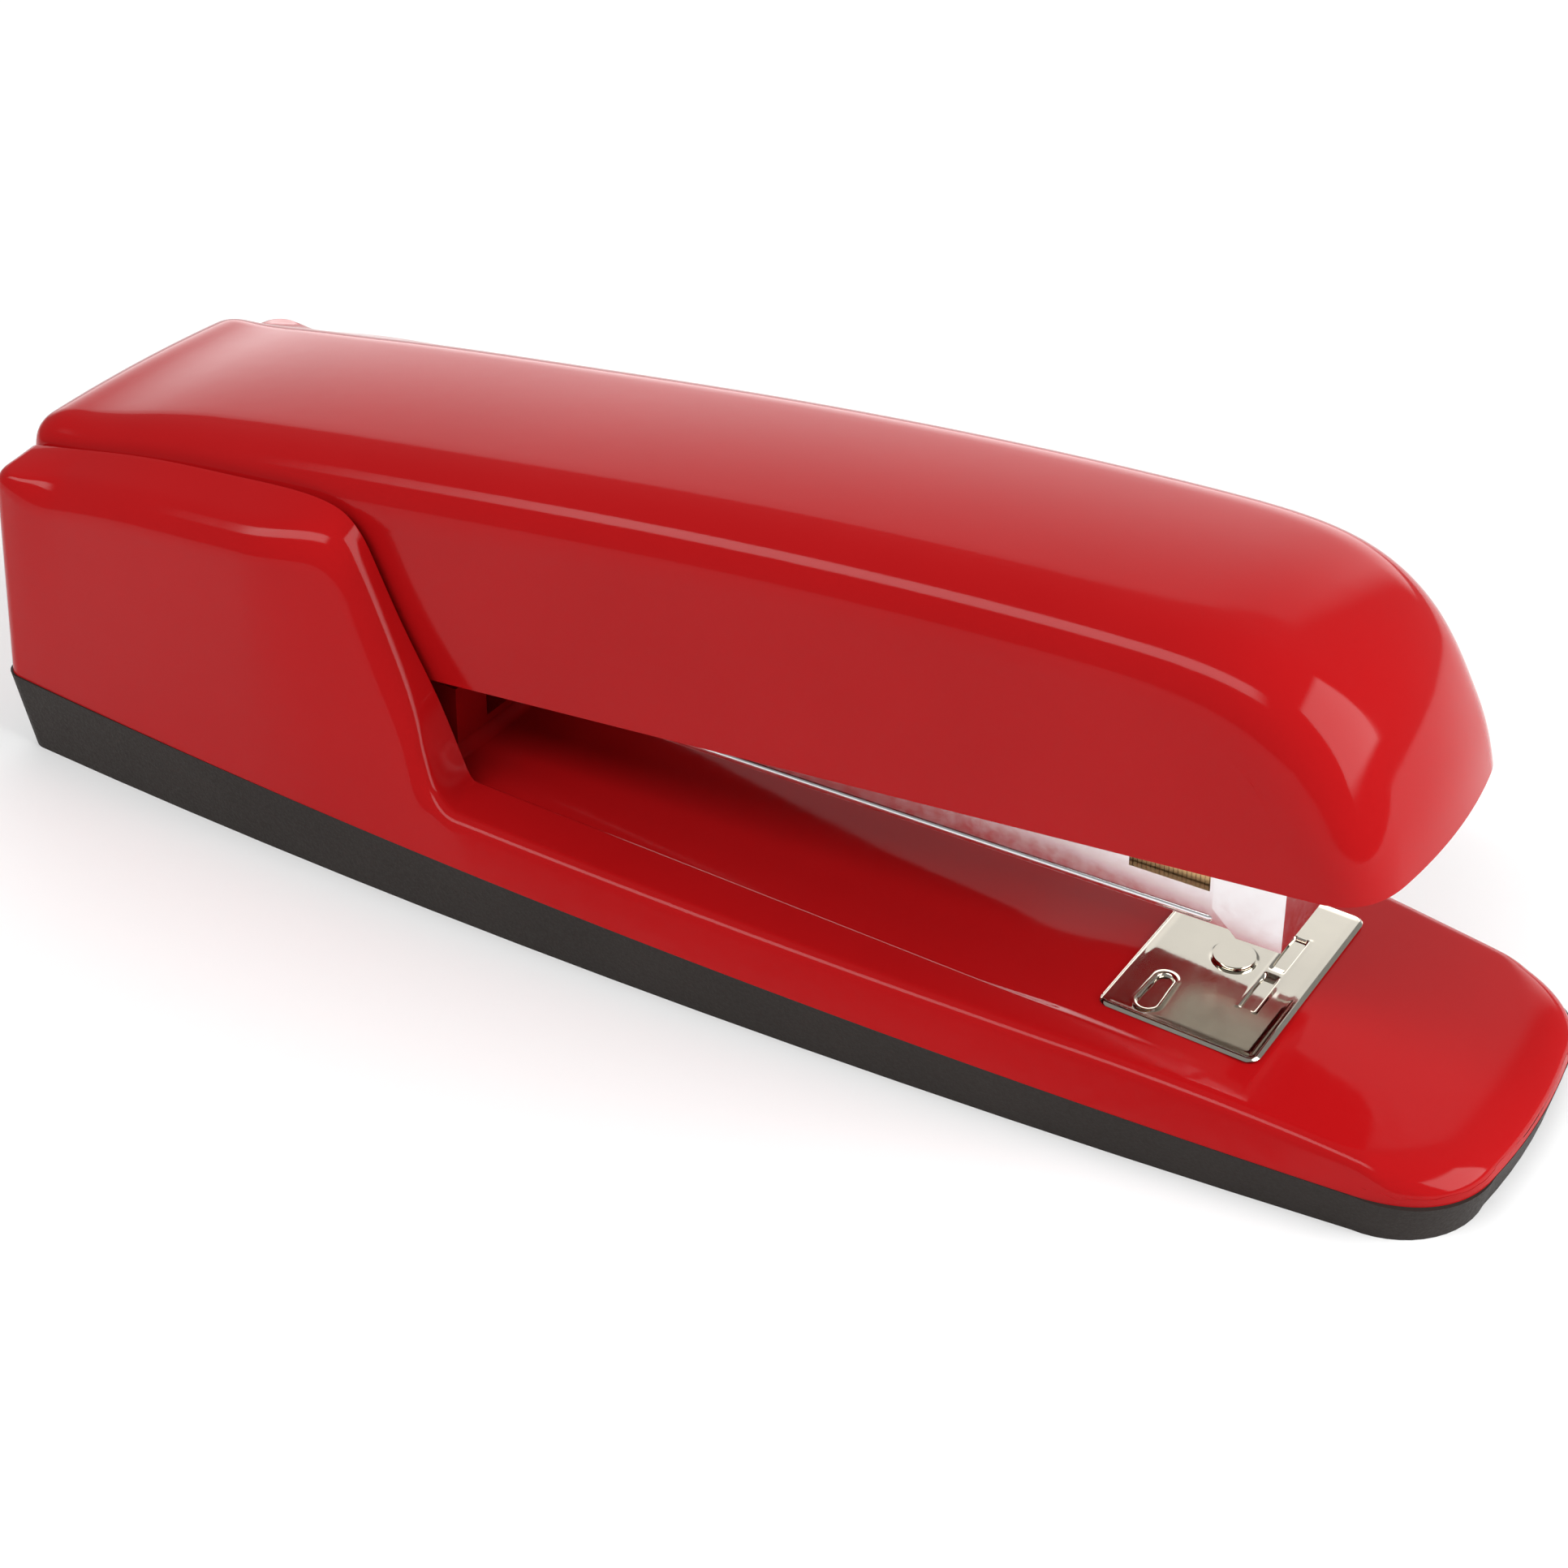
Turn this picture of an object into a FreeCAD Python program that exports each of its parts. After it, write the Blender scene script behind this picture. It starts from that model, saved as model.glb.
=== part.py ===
import FreeCAD, Part
import os
import re

import Sketcher
from FreeCAD import Placement, Rotation, Vector

# A full-strip desk stapler, in millimetres. +X points to the nose, +Z is up, and the origin is
# the middle of the footprint on the table. The rest pose is the stapler standing ready to use.
#
# Three tilted frames carry the pieces, each turned about Y:
#   deck      the steel base, whose deck falls gently towards the nose
#   magazine  the staple channel, at the hinge pin
#   cover     the handle, at the hinge pin
# The pad and the ears are drawn in the row frame itself.

DIMENSIONS = {
    # how far a cutting piece reaches past what it cuts, and across the whole object
    "beyond": 3.0,
    "across": 80.0,
    # base outline, at the seam between the black pad and the red shell
    "half_length": 92.3,
    "rear_half_width": 26.7,
    "widest_half_width": 27.74,
    "widest_place": -39.0,
    "front_half_width": 20.94,
    "rear_corner": 2.6,
    "front_corner_start": 81.0,
    "front_corner_end": 91.6,
    "front_flat_half": 10.4,
    "front_corner_bulge": 2.9,
    # pad
    "seam_height": 6.97,
    "deck_pitch": 1.753,
    "pad_side_draft": 0.37,
    "pad_rear_draft": 2.2,
    "pad_front_draft": 0.8,
    # shell
    "deck_height": 5.2,
    "flank_side_draft": 2.0,
    "flank_rear_draft": 1.1,
    "flank_front_draft": 1.4,
    "cavity_height": 2.9,
    "cavity_rear": -87.0,
    "cavity_front": 72.0,
    "cavity_rear_half": 23.8,
    "cavity_front_half": 18.0,
    "slope_start": 50.0,
    "slope_mid": 72.0,
    "slope_mid_height": 4.42,
    "slope_end_height": 2.25,
    "pan_rear": -32.0,
    "pan_front": 70.3,
    "pan_rear_half": 18.2,
    "pan_front_half": 16.8,
    "pan_floor": 3.9,
    "pan_corner": 3.0,
    "well_rear": -91.0,
    "well_front": -64.0,
    "well_half": 19.3,
    # ears
    "ear_foot": 11.0,
    "ear_outer": 26.3,
    "ear_lip": 19.2,
    "ear_round": 4.6,
    "sheet": 1.0,
    # hinge
    "pin_x": -78.0,
    "pin_z": 28.0,
    "pin_radius": 2.0,
    "pin_half": 22.6,
    "pin_clearance": 0.06,
    "pin_end_round": 0.4,
    "pin_washer_radius": 3.6,
    "pin_washer_thick": 0.7,
    "pin_washer_gap": 0.05,
    "bracket_inner": 19.8,
    "bracket_outer": 21.0,
    "bracket_foot": 24.4,
    "bracket_rear": -86.0,
    "bracket_front": -60.0,
    "bracket_rear_level": 15.3,
    "bracket_front_level": 14.5,
    "bracket_shoulder": 27.5,
    "bracket_eye_rise": 6.5,
    "bracket_eye_reach": 7.2,
    # rivets
    "rivet_radius": 1.1,
    "rivet_head": 0.7,
    "rivet_shank": 1.0,
    # guide and lift spring on the deck
    "guide_rear": -58.0,
    "guide_cheek_rear": -48.0,
    "guide_front": -32.6,
    "guide_half": 14.0,
    "guide_sheet": 0.9,
    "guide_top": 12.6,
    "guide_flange_inner": 8.5,
    "lift_half": 4.0,
    "lift_thick": 0.6,
    "lift_seat": 6.75,
    # magazine
    "magazine_pitch": -1.05,
    "channel_floor": -10.8,
    "channel_rear": -5.5,
    "channel_front": 142.6,
    "channel_half": 7.3,
    "channel_wall": 0.8,
    "channel_height": 10.6,
    "channel_tail": 4.0,
    "window_rear": 126.5,
    "window_front": 135.5,
    "window_low": 3.8,
    "window_high": 8.2,
    "head_rear": 136.2,
    "head_front": 143.9,
    "head_half": 8.1,
    "head_drop": 0.2,
    "head_rise": 1.2,
    "head_corner_length": 2.8,
    "head_corner_height": 2.7,
    "rail_rear": 40.0,
    "rail_front": 140.1,
    "rail_half": 5.6,
    "rail_height": 6.9,
    "rail_slot_half": 1.3,
    "rail_slot_rear": 4.0,
    "rail_slot_front": 3.0,
    "rail_nose": 1.2,
    "rod_height": -6.5,
    "rod_radius": 0.9,
    "anchor_rear": 33.5,
    "anchor_thick": 1.2,
    "anchor_foot": 6.0,
    "anchor_half": 6.4,
    "anchor_top": -2.5,
    "tube_gap": 0.5,
    "tube_wall": 0.6,
    "strip_rear": 92.0,
    "crown_half": 6.35,
    "staple_wire": 0.5,
    "strip_gap": 0.3,
    "strip_rise": 0.7,
    "pusher_length": 13.0,
    "pusher_half": 6.3,
    "pusher_inner_half": 5.75,
    "pusher_gap": 0.4,
    "pusher_rise": 0.8,
    "pusher_crown": 0.6,
    "pusher_neck_half": 1.0,
    "pusher_neck_start": 2.0,
    "pusher_neck_length": 7.0,
    "runner_radius": 2.4,
    "tab_half": 3.0,
    "tab_thick": 0.8,
    "tab_top": 1.6,
    # cover
    "cover_pitch": -5.54,
    "cover_bottom": -8.5,
    "cover_rear": -13.6,
    "cover_nose": 157.3,
    "cover_rear_half": 18.6,
    "cover_front_half": 17.2,
    "taper_start": 20.0,
    "cover_round": 6.6,
    "cover_skin": 0.9,
    "frame_half": 10.2,
    "frame_front": 139.0,
    "frame_top": 14.2,
    "frame_depth": 7.0,
    "frame_tail": 6.0,
    "driver_half": 6.2,
    "driver_thick": 0.5,
    "driver_place": 141.35,
    "driver_bottom": -10.2,
    "driver_flange": 9.0,
    "driver_flange_low": 12.4,
    "driver_flange_high": 13.0,
    "driver_rivet_half": 3.4,
    "return_half": 6.9,
    "return_thick": 0.7,
    "post_half": 4.0,
    # anvil
    "anvil_x": 58.0,
    "anvil_long": 28.4,
    "anvil_short": 17.8,
    "anvil_corner": 1.3,
    "anvil_thick": 0.8,
    "anvil_top": 5.4,
    "groove_place": 4.6,
    "groove_half_width": 0.75,
    "groove_half": 7.1,
    "groove_depth": 0.5,
    "slot_rear": -5.2,
    "slot_front": -3.7,
    "slot_inner": 5.8,
    "slot_outer": 12.8,
    "stud_radius": 2.26,
    "stud_head": 0.45,
    "post_radius": 1.7,
    "post_bottom": -3.6,
    "button_radius": 5.0,
    "button_bottom": -4.3,
    "button_thick": 1.6,
    "button_edge": 0.5,
    "button_gap": 0.6,
    "boss_wall": 1.4,
    "boss_height": 1.2,
    "anvil_washer_bottom": -1.5,
    "anvil_washer_thick": 0.6,
    "anvil_washer_wall": 2.6,
    "coil_radius": 2.9,
    "coil_wire": 0.25,
    "coil_pitch": 0.9,
    "coil_turns": 3.6,
    "coil_bottom": -0.65,
}

FUNCTION_WORDS = {"sin", "cos", "tan", "sqrt", "abs"}
TINY = 1e-4

doc = FreeCAD.newDocument("Stapler")
sheet = doc.addObject("Spreadsheet::Sheet", "Dimensions")
for row, (word, number) in enumerate(DIMENSIONS.items(), start=1):
    sheet.set(f"A{row}", word)
    sheet.set(f"B{row}", str(number))
    sheet.setAlias(f"B{row}", word)
doc.recompute()

nodes = []


# ---------------------------------------------------------------- helpers


def bind(text):
    """The expression for a formula of sheet words."""

    def reference(match):
        word = match.group()
        return word if word in FUNCTION_WORDS else "Dimensions." + word

    return re.sub(r"[a-z][a-z_0-9]*", reference, str(text))


def value(text):
    """What a formula of sheet words comes to."""
    return float(sheet.evalExpression(bind(text)))


def keep(piece, name):
    """Marks a finished object as the sub-part with this name."""
    piece.Label = name
    nodes.append(piece)
    return piece


def put(piece, x="0", y="0", z="0", pitch=None):
    """Places an object by formulas, turned nose-down about Y by pitch degrees."""
    if pitch is not None:
        piece.Placement = Placement(Vector(), Rotation(Vector(0, 1, 0), value(pitch)))
    for letter, text in zip("xyz", (x, y, z)):
        piece.setExpression(f"Placement.Base.{letter}", bind(text))
    return piece


def held(piece):
    """Groups a piece that already has a place of its own, so that a frame can move it."""
    if piece.TypeId not in ("Part::Box", "Part::Cylinder", "Part::Feature"):
        return piece
    group = doc.addObject("Part::Compound", "Held")
    group.Links = [piece]
    return group


def on_deck(piece):
    return put(held(piece), z="seam_height", pitch="deck_pitch")


def on_anvil(piece):
    """Places a piece on the anvil's own axis, square to the deck."""
    x = "anvil_x * cos(deck_pitch)"
    z = "seam_height - anvil_x * sin(deck_pitch)"
    return put(held(piece), x, "0", z, "deck_pitch")


def on_magazine(piece):
    return put(held(piece), "pin_x", "0", "pin_z", "magazine_pitch")


def on_cover(piece):
    return put(held(piece), "pin_x", "0", "pin_z", "cover_pitch")


def block(low, high):
    """A box between two corners, each three formulas."""
    piece = doc.addObject("Part::Box", "Block")
    for side, a, b in zip(("Length", "Width", "Height"), low, high):
        piece.setExpression(side, bind(f"({b}) - ({a})"))
    return put(piece, *low)


def rod(start, length, radius, axis="z"):
    """A cylinder from start along an axis."""
    piece = doc.addObject("Part::Cylinder", "Rod")
    turns = {
        "x": Rotation(Vector(0, 1, 0), 90),
        "y": Rotation(Vector(1, 0, 0), -90),
        "z": Rotation(),
    }
    piece.Placement = Placement(Vector(), turns[axis])
    piece.setExpression("Radius", bind(radius))
    piece.setExpression("Height", bind(length))
    return put(piece, *start)


def fuse(*pieces):
    piece = doc.addObject("Part::MultiFuse", "Joined")
    piece.Shapes = list(pieces)
    return piece


def cut(base, *tools):
    piece = doc.addObject("Part::Cut", "Cut")
    piece.Base = base
    piece.Tool = tools[0] if len(tools) == 1 else fuse(*tools)
    return piece


def rounded(base, radius, chosen):
    """Fillets the edges for which chosen(edge) is true."""
    doc.recompute()
    piece = doc.addObject("Part::Fillet", "Rounded")
    piece.Base = base
    size = value(radius)
    numbers = [i for i, e in enumerate(base.Shape.Edges, 1) if chosen(e)]
    piece.Edges = [(i, size, size) for i in numbers]
    return piece


def upright(edge):
    """Whether an edge runs along Z."""
    return abs(edge.tangentAt(edge.FirstParameter).z) > 1 - TINY


def is_ring(edge):
    return isinstance(edge.Curve, Part.Circle)


def plane_of(body, role):
    return next(f for f in body.Origin.OriginFeatures if f.Role == role)


def draw(sketch, corners):
    """A closed outline. A corner is (u, v), or (u, v, mid_u, mid_v) where an arc leaves it.
    Gives, for each edge, the numbers of the end it leaves from and the end it goes to."""
    points = [Vector(value(c[0]), value(c[1]), 0) for c in corners]
    ends = []
    for corner, here, after in zip(corners, points, points[1:] + points[:1]):
        if len(corner) == 2:
            sketch.addGeometry(Part.LineSegment(here, after), False)
            ends.append((1, 2))
            continue
        middle = Vector(value(corner[2]), value(corner[3]), 0)
        if (after - here).cross(middle - here).z < 0:
            sketch.addGeometry(Part.Arc(here, middle, after), False)
            ends.append((1, 2))
        else:
            sketch.addGeometry(Part.Arc(after, middle, here), False)
            ends.append((2, 1))
    return ends


def tie(sketch, corners, first, ends):
    """Ties an outline's corners to the sheet, and keeps the radii of its arcs."""
    count = len(corners)
    for i in range(count):
        after = (i + 1) % count
        pair = (first + i, ends[i][1], first + after, ends[after][0])
        sketch.addConstraint(Sketcher.Constraint("Coincident", *pair))
    for i, corner in enumerate(corners):
        for kind, text in (("DistanceX", corner[0]), ("DistanceY", corner[1])):
            place = (-1, 1, first + i, ends[i][0], value(text))
            number = sketch.addConstraint(Sketcher.Constraint(kind, *place))
            sketch.setExpression(f"Constraints[{number}]", bind(text))
        if len(corner) == 4:
            radius = sketch.Geometry[first + i].Radius
            sketch.addConstraint(Sketcher.Constraint("Radius", first + i, radius))


def outline(body, role, *loops, lift="0"):
    """A sketch on one of the body's own origin planes, raised along the plane's normal."""
    sketch = body.newObject("Sketcher::SketchObject", "Outline")
    sketch.AttachmentSupport = [(plane_of(body, role), "")]
    sketch.MapMode = "FlatFace"
    sketch.setExpression(".AttachmentOffset.Base.z", bind(lift))
    for corners in loops:
        first = sketch.GeometryCount
        ends = draw(sketch, corners)
        tie(sketch, corners, first, ends)
    return sketch


def new_body(name):
    return doc.addObject("PartDesign::Body", name)


def pad(body, sketch, length, middle=False, back=False):
    feature = body.newObject("PartDesign::Pad", "Pad")
    feature.Profile = sketch
    feature.setExpression("Length", bind(length))
    if middle:
        feature.Midplane = True
    feature.Reversed = back
    return feature


def pocket(body, sketch, length, middle=False, back=False):
    """Cuts a pocket, and makes sure that it took something away."""
    doc.recompute()
    before = body.Shape.Volume
    feature = body.newObject("PartDesign::Pocket", "Pocket")
    feature.Profile = sketch
    feature.setExpression("Length", bind(length))
    if middle:
        feature.Midplane = True
    feature.Reversed = back
    doc.recompute()
    if body.Shape.Volume > before - TINY:
        raise RuntimeError(f"a pocket of {body.Label} cuts nothing")
    return feature


def prism(corners, half, at="0"):
    """A side outline spread by half to both sides of the plane y = at."""
    body = new_body("Prism")
    sketch = outline(body, "XZ_Plane", corners, lift=f"-({at})")
    pad(body, sketch, f"2 * ({half})", middle=True)
    return body


def slab(corners, low, high):
    """A plan outline from height low to height high."""
    body = new_body("Slab")
    pad(body, outline(body, "XY_Plane", corners, lift=low), f"({high}) - ({low})")
    return body


def rivets(places, radius, low, high, head):
    """Round rivets with a domed head on the high end, as one group."""
    group = []
    for x, y in places:
        shank = rod((x, y, low), f"({high}) - ({low})", radius)
        cap = rod((x, y, high), head, f"2 * ({radius})")
        cap = rounded(cap, f"0.7 * ({head})", ring_at(f"({high}) + ({head})"))
        group.append(fuse(shank, cap))
    piece = doc.addObject("Part::Compound", "Rivets")
    piece.Links = group
    return piece


def ring_at(height):
    """A test for the circle at that height."""
    level = value(height)

    def found(edge):
        return is_ring(edge) and abs(edge.Curve.Center.z - level) < TINY

    return found


def leaf(corners, half, thick, name, place):
    """A bent spring strip: its upper side line as corners, thickened and spread in y."""
    below = [(u, f"({w}) - {thick}") for u, w in reversed(corners)]
    return keep(place(prism(list(corners) + below, half)), name)


# ---------------------------------------------------------------- base


def footprint(side, rear, front):
    """The base's outline in plan, drawn in by formulas on its sides, rear and front."""
    corner = f"(front_corner_end - ({front}))"
    width = f"(front_half_width - ({side}))"
    bulge_x = f"front_corner_start + 0.72 * ({corner} - front_corner_start)"
    bulge_y = f"({width} - front_corner_bulge)"
    tail = f"(({rear}) - half_length)"
    wide = f"(widest_half_width - ({side}))"
    narrow = f"(rear_half_width - ({side}))"
    turn_x = f"{tail} + 0.29 * rear_corner"
    turn_y = f"({narrow} - 0.29 * rear_corner)"
    return [
        (f"{tail} + rear_corner", f"-{narrow}", "widest_place", f"-{wide}"),
        ("front_corner_start", f"-{width}", bulge_x, f"-{bulge_y}"),
        (corner, "-front_flat_half", f"half_length - ({front})", "0"),
        (corner, "front_flat_half", bulge_x, bulge_y),
        ("front_corner_start", width, "widest_place", wide),
        (f"{tail} + rear_corner", narrow, turn_x, turn_y),
        (tail, f"{narrow} - rear_corner"),
        (tail, f"rear_corner - {narrow}", turn_x, f"-{turn_y}"),
    ]


def loft(body, low, high):
    feature = body.newObject("PartDesign::AdditiveLoft", "Loft")
    feature.Profile = low
    feature.Sections = [high]
    feature.Ruled = True
    return feature


def base_pad():
    """The black wedge under the base, thick at the rear and thin at the nose."""
    body = new_body("PadBody")
    low = outline(
        body,
        "XY_Plane",
        footprint("pad_side_draft", "pad_rear_draft", "pad_front_draft"),
    )
    high = outline(body, "XY_Plane", footprint("0", "0", "0"))
    high.AttachmentOffset = Placement(
        Vector(), Rotation(Vector(0, 1, 0), value("deck_pitch"))
    )
    high.setExpression(".AttachmentOffset.Base.z", bind("seam_height"))
    loft(body, low, high)
    length = "seam_height + 2 * beyond"
    hole = rod(("anvil_x", "0", "-beyond"), length, "button_radius + button_gap")
    return keep(cut(body, hole), "base_pad")


def tray():
    """The low part of the shell, in the deck frame: flanks, deck, front slope and pan."""
    body = new_body("TrayBody")
    low = outline(body, "XY_Plane", footprint("0", "0", "0"))
    high = outline(
        body,
        "XY_Plane",
        footprint("flank_side_draft", "flank_rear_draft", "flank_front_draft"),
        lift="deck_height",
    )
    loft(body, low, high)
    slope = [
        ("slope_start", "deck_height", "slope_mid", "slope_mid_height"),
        ("half_length + 1", "slope_end_height"),
        ("half_length + 1", "deck_height + beyond"),
        ("slope_start", "deck_height + beyond"),
    ]
    pocket(body, outline(body, "XZ_Plane", slope), "across", middle=True)
    cavity = [
        ("cavity_rear", "-cavity_rear_half"),
        ("cavity_front", "-cavity_front_half"),
        ("cavity_front", "cavity_front_half"),
        ("cavity_rear", "cavity_rear_half"),
    ]
    pocket(body, outline(body, "XY_Plane", cavity), "cavity_height", back=True)
    return on_deck(body)


def pan():
    """What is pressed down out of the deck: a long shallow pan with round corners."""
    corners = [
        ("pan_rear", "-pan_rear_half"),
        ("pan_front", "-pan_front_half"),
        ("pan_front", "pan_front_half"),
        ("pan_rear", "pan_rear_half"),
    ]
    hollow = slab(corners, "pan_floor", "deck_height + beyond")
    return on_deck(rounded(hollow, "pan_corner", upright))


def ear_outline(skin):
    """The side outline of an ear, drawn in by skin: rear edge, long top, and front slope."""
    return [
        (f"-91.5 + {skin}", "ear_foot"),
        (f"-88.7 + {skin}", "35.0", f"-87.0 + 0.7 * {skin}", f"38.5 - 0.7 * {skin}"),
        ("-83.2", f"40.2 - {skin}", "-66.0", f"43.3 - {skin}"),
        ("-47.5", f"45.1 - {skin}", f"-42.2 - 0.6 * {skin}", f"44.0 - 0.8 * {skin}"),
        (f"-39.4 - {skin}", f"41.0 - 0.2 * {skin}"),
        (f"-26.2 - 1.1 * {skin}", "ear_foot"),
    ]


def round_the_face(y):
    """A test for the edges of the flat face at y, all but the one along its foot."""
    foot = value("ear_foot") + TINY

    def found(edge):
        points = [v.Point for v in edge.Vertexes]
        flat = all(abs(p.y - y) < TINY for p in points)
        return flat and any(p.z > foot for p in points)

    return found


def cheek(side, skin, reach):
    """An ear as a solid, drawn in by skin, from its outer face in past the lip by reach."""
    outer, inner = f"(ear_outer - {skin})", f"(ear_lip - {reach})"
    middle = f"{side} * ({outer} + {inner}) / 2"
    solid = prism(ear_outline(skin), f"({outer} - {inner}) / 2", middle)
    return rounded(solid, f"ear_round - {skin}", round_the_face(side * value(outer)))


def ear(side):
    """One ear: a flat cheek whose front, top and rear edges turn in to a thin lip."""
    return cut(cheek(side, "0", "0"), cheek(side, "sheet", "beyond"))


def base_shell():
    """The red steel shell: tray, two ears, and a well between them for the cover's tail."""
    well = on_deck(
        block(
            ("well_rear", "-well_half", "-beyond"),
            ("well_front", "well_half", "deck_height + beyond"),
        )
    )
    length = "deck_height + beyond"
    post_hole = on_anvil(rod(("0", "0", "0"), length, "post_radius + pin_clearance"))
    body = fuse(tray(), ear(-1), ear(1))
    return keep(cut(body, pan(), well, post_hole), "base_shell")


# ---------------------------------------------------------------- hinge and springs of the base


def hinge_bracket(side, name):
    """A steel leg that carries the hinge pin, inside an ear and outside the cover."""
    low, high = sorted((f"{side} * bracket_inner", f"{side} * bracket_outer"), key=value)
    corners = [
        ("bracket_rear", "bracket_rear_level"),
        ("bracket_rear + 0.8", "bracket_shoulder", "pin_x", "pin_z + bracket_eye_rise"),
        ("pin_x + bracket_eye_reach", "bracket_shoulder"),
        ("bracket_front", "bracket_front_level"),
    ]
    leg = prism(corners, "(bracket_outer - bracket_inner) / 2", f"({low} + ({high})) / 2")
    low, high = sorted((f"{side} * bracket_inner", f"{side} * bracket_foot"), key=value)
    foot = on_deck(
        block(
            ("bracket_rear", low, "deck_height"),
            ("bracket_front", high, "deck_height + sheet"),
        )
    )
    eye = rod(("pin_x", "-across / 2", "pin_z"), "across", "pin_radius", "y")
    return keep(cut(fuse(leg, foot), eye), name)


def magazine_guide():
    """A low steel saddle on the deck, whose two cheeks keep the magazine in line."""
    low, high = "deck_height", "guide_top"
    plate = block(
        ("guide_rear", "-guide_half", low), ("guide_front", "guide_half", f"{low} + guide_sheet")
    )
    walls = []
    for side in (-1, 1):
        outer = f"{side} * guide_half"
        inner = f"{side} * (guide_half - guide_sheet)"
        a, b = sorted((outer, inner), key=value)
        walls.append(block(("guide_cheek_rear", a, low), ("guide_front", b, high)))
        a, b = sorted((outer, f"{side} * guide_flange_inner"), key=value)
        walls.append(block(("guide_front - guide_sheet", a, low), ("guide_front", b, high)))
    return keep(on_deck(fuse(plate, *walls)), "magazine_guide")


def lift_spring():
    """The leaf on the guide that carries the magazine's weight."""
    line = [("-52", "lift_seat"), ("-46", "lift_seat"), ("-40", "8.0"), ("-35.5", "9.7")]
    leaf(line, "lift_half", "lift_thick", "lift_spring", on_deck)


def bracket_rivets():
    """Four rivets that hold the brackets' feet down on the shell."""
    places = [(x, f"{s} * 22.8") for x in ("-82", "-64") for s in (-1, 1)]
    low, high = "deck_height - rivet_shank", "deck_height + sheet"
    keep(on_deck(rivets(places, "rivet_radius", low, high, "rivet_head")), "bracket_rivets")


def guide_rivets():
    """Three rivets that hold the guide down on the deck."""
    places = [("-54.5", "-9"), ("-54.5", "9"), ("-37", "0")]
    low, high = "deck_height - rivet_shank", "deck_height + guide_sheet"
    keep(on_deck(rivets(places, "rivet_radius", low, high, "rivet_head")), "guide_rivets")


def hinge_pin():
    """The steel pin that the magazine and the cover turn on."""
    pin = rod(("pin_x", "-pin_half", "pin_z"), "2 * pin_half", "pin_radius", "y")
    return keep(rounded(pin, "pin_end_round", is_ring), "hinge_pin")


def pin_washer(place, name):
    """A push-on retaining washer, from place on along the pin, beside a bracket's leg."""
    disc = rod(("pin_x", place, "pin_z"), "pin_washer_thick", "pin_washer_radius", "y")
    start = ("pin_x", f"({place}) - beyond", "pin_z")
    hole = rod(start, "2 * beyond + pin_washer_thick", "pin_radius", "y")
    return keep(cut(disc, hole), name)


# ---------------------------------------------------------------- anvil


def anvil_plate():
    """The clinching plate, with a groove that closes staples and two slots that bend pins."""
    half_x, half_y = "anvil_short / 2", "anvil_long / 2"
    low, high = "anvil_top - anvil_thick", "anvil_top"
    plate = block((f"-{half_x}", f"-{half_y}", low), (half_x, half_y, high))
    plate = rounded(plate, "anvil_corner", upright)
    bottom, above = f"{high} - groove_depth", f"{high} + beyond"
    groove = block(
        ("groove_place - groove_half_width", "-groove_half", bottom),
        ("groove_place + groove_half_width", "groove_half", above),
    )
    slots = [
        block(("slot_rear", a, bottom), ("slot_front", b, above))
        for a, b in (("-slot_outer", "-slot_inner"), ("slot_inner", "slot_outer"))
    ]
    hole = rod(("0", "0", "0"), above, "post_radius")
    return keep(on_anvil(cut(plate, groove, *slots, hole)), "anvil_plate")


def anvil_stud():
    """The riveted post that the plate turns and rises on."""
    head = rod(("0", "0", "anvil_top"), "stud_head", "stud_radius")
    shank = rod(("0", "0", "post_bottom"), "anvil_top - post_bottom", "post_radius")
    return keep(on_anvil(fuse(head, shank)), "anvil_stud")


def anvil_button():
    """The round button under the base that lifts the anvil before it is turned."""
    disc = rod(("0", "0", "button_bottom"), "button_thick", "button_radius")
    disc = rounded(disc, "button_edge", is_ring)
    top = "button_bottom + button_thick"
    boss = rod(("0", "0", top), "boss_height", "post_radius + boss_wall")
    bore = rod(("0", "0", "post_bottom - 0.1"), "2 * beyond", "post_radius + pin_clearance")
    return keep(on_anvil(cut(fuse(disc, boss), bore)), "anvil_button")


def anvil_washer():
    """The push-on washer that the anvil spring bears on, fixed to the button's boss."""
    start = ("0", "0", "anvil_washer_bottom")
    disc = rod(start, "anvil_washer_thick", "post_radius + anvil_washer_wall")
    bore = rod(("0", "0", "-beyond"), "2 * beyond", "post_radius + pin_clearance")
    return keep(on_anvil(cut(disc, bore)), "anvil_washer")


def anvil_spring():
    """The small coil that pulls the anvil down on the deck, between the deck and the washer."""
    radius, pitch = value("coil_radius"), value("coil_pitch")
    helix = Part.makeHelix(pitch, pitch * value("coil_turns"), radius)
    ring = Part.Circle(Vector(radius, 0, 0), Vector(0, 1, 0), value("coil_wire"))
    section = Part.Wire([ring.toShape()])
    piece = doc.addObject("Part::Feature", "Coil")
    piece.Shape = Part.Wire(helix).makePipeShell([section], True, True)
    piece.Placement = Placement(Vector(0, 0, value("coil_bottom")), Rotation())
    return keep(on_anvil(piece), "anvil_spring")


# ---------------------------------------------------------------- magazine


def pin_eye():
    """The bore for the hinge pin, on its own axis."""
    return rod(("0", "-across / 2", "0"), "across", "pin_radius + pin_clearance", "y")


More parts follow.
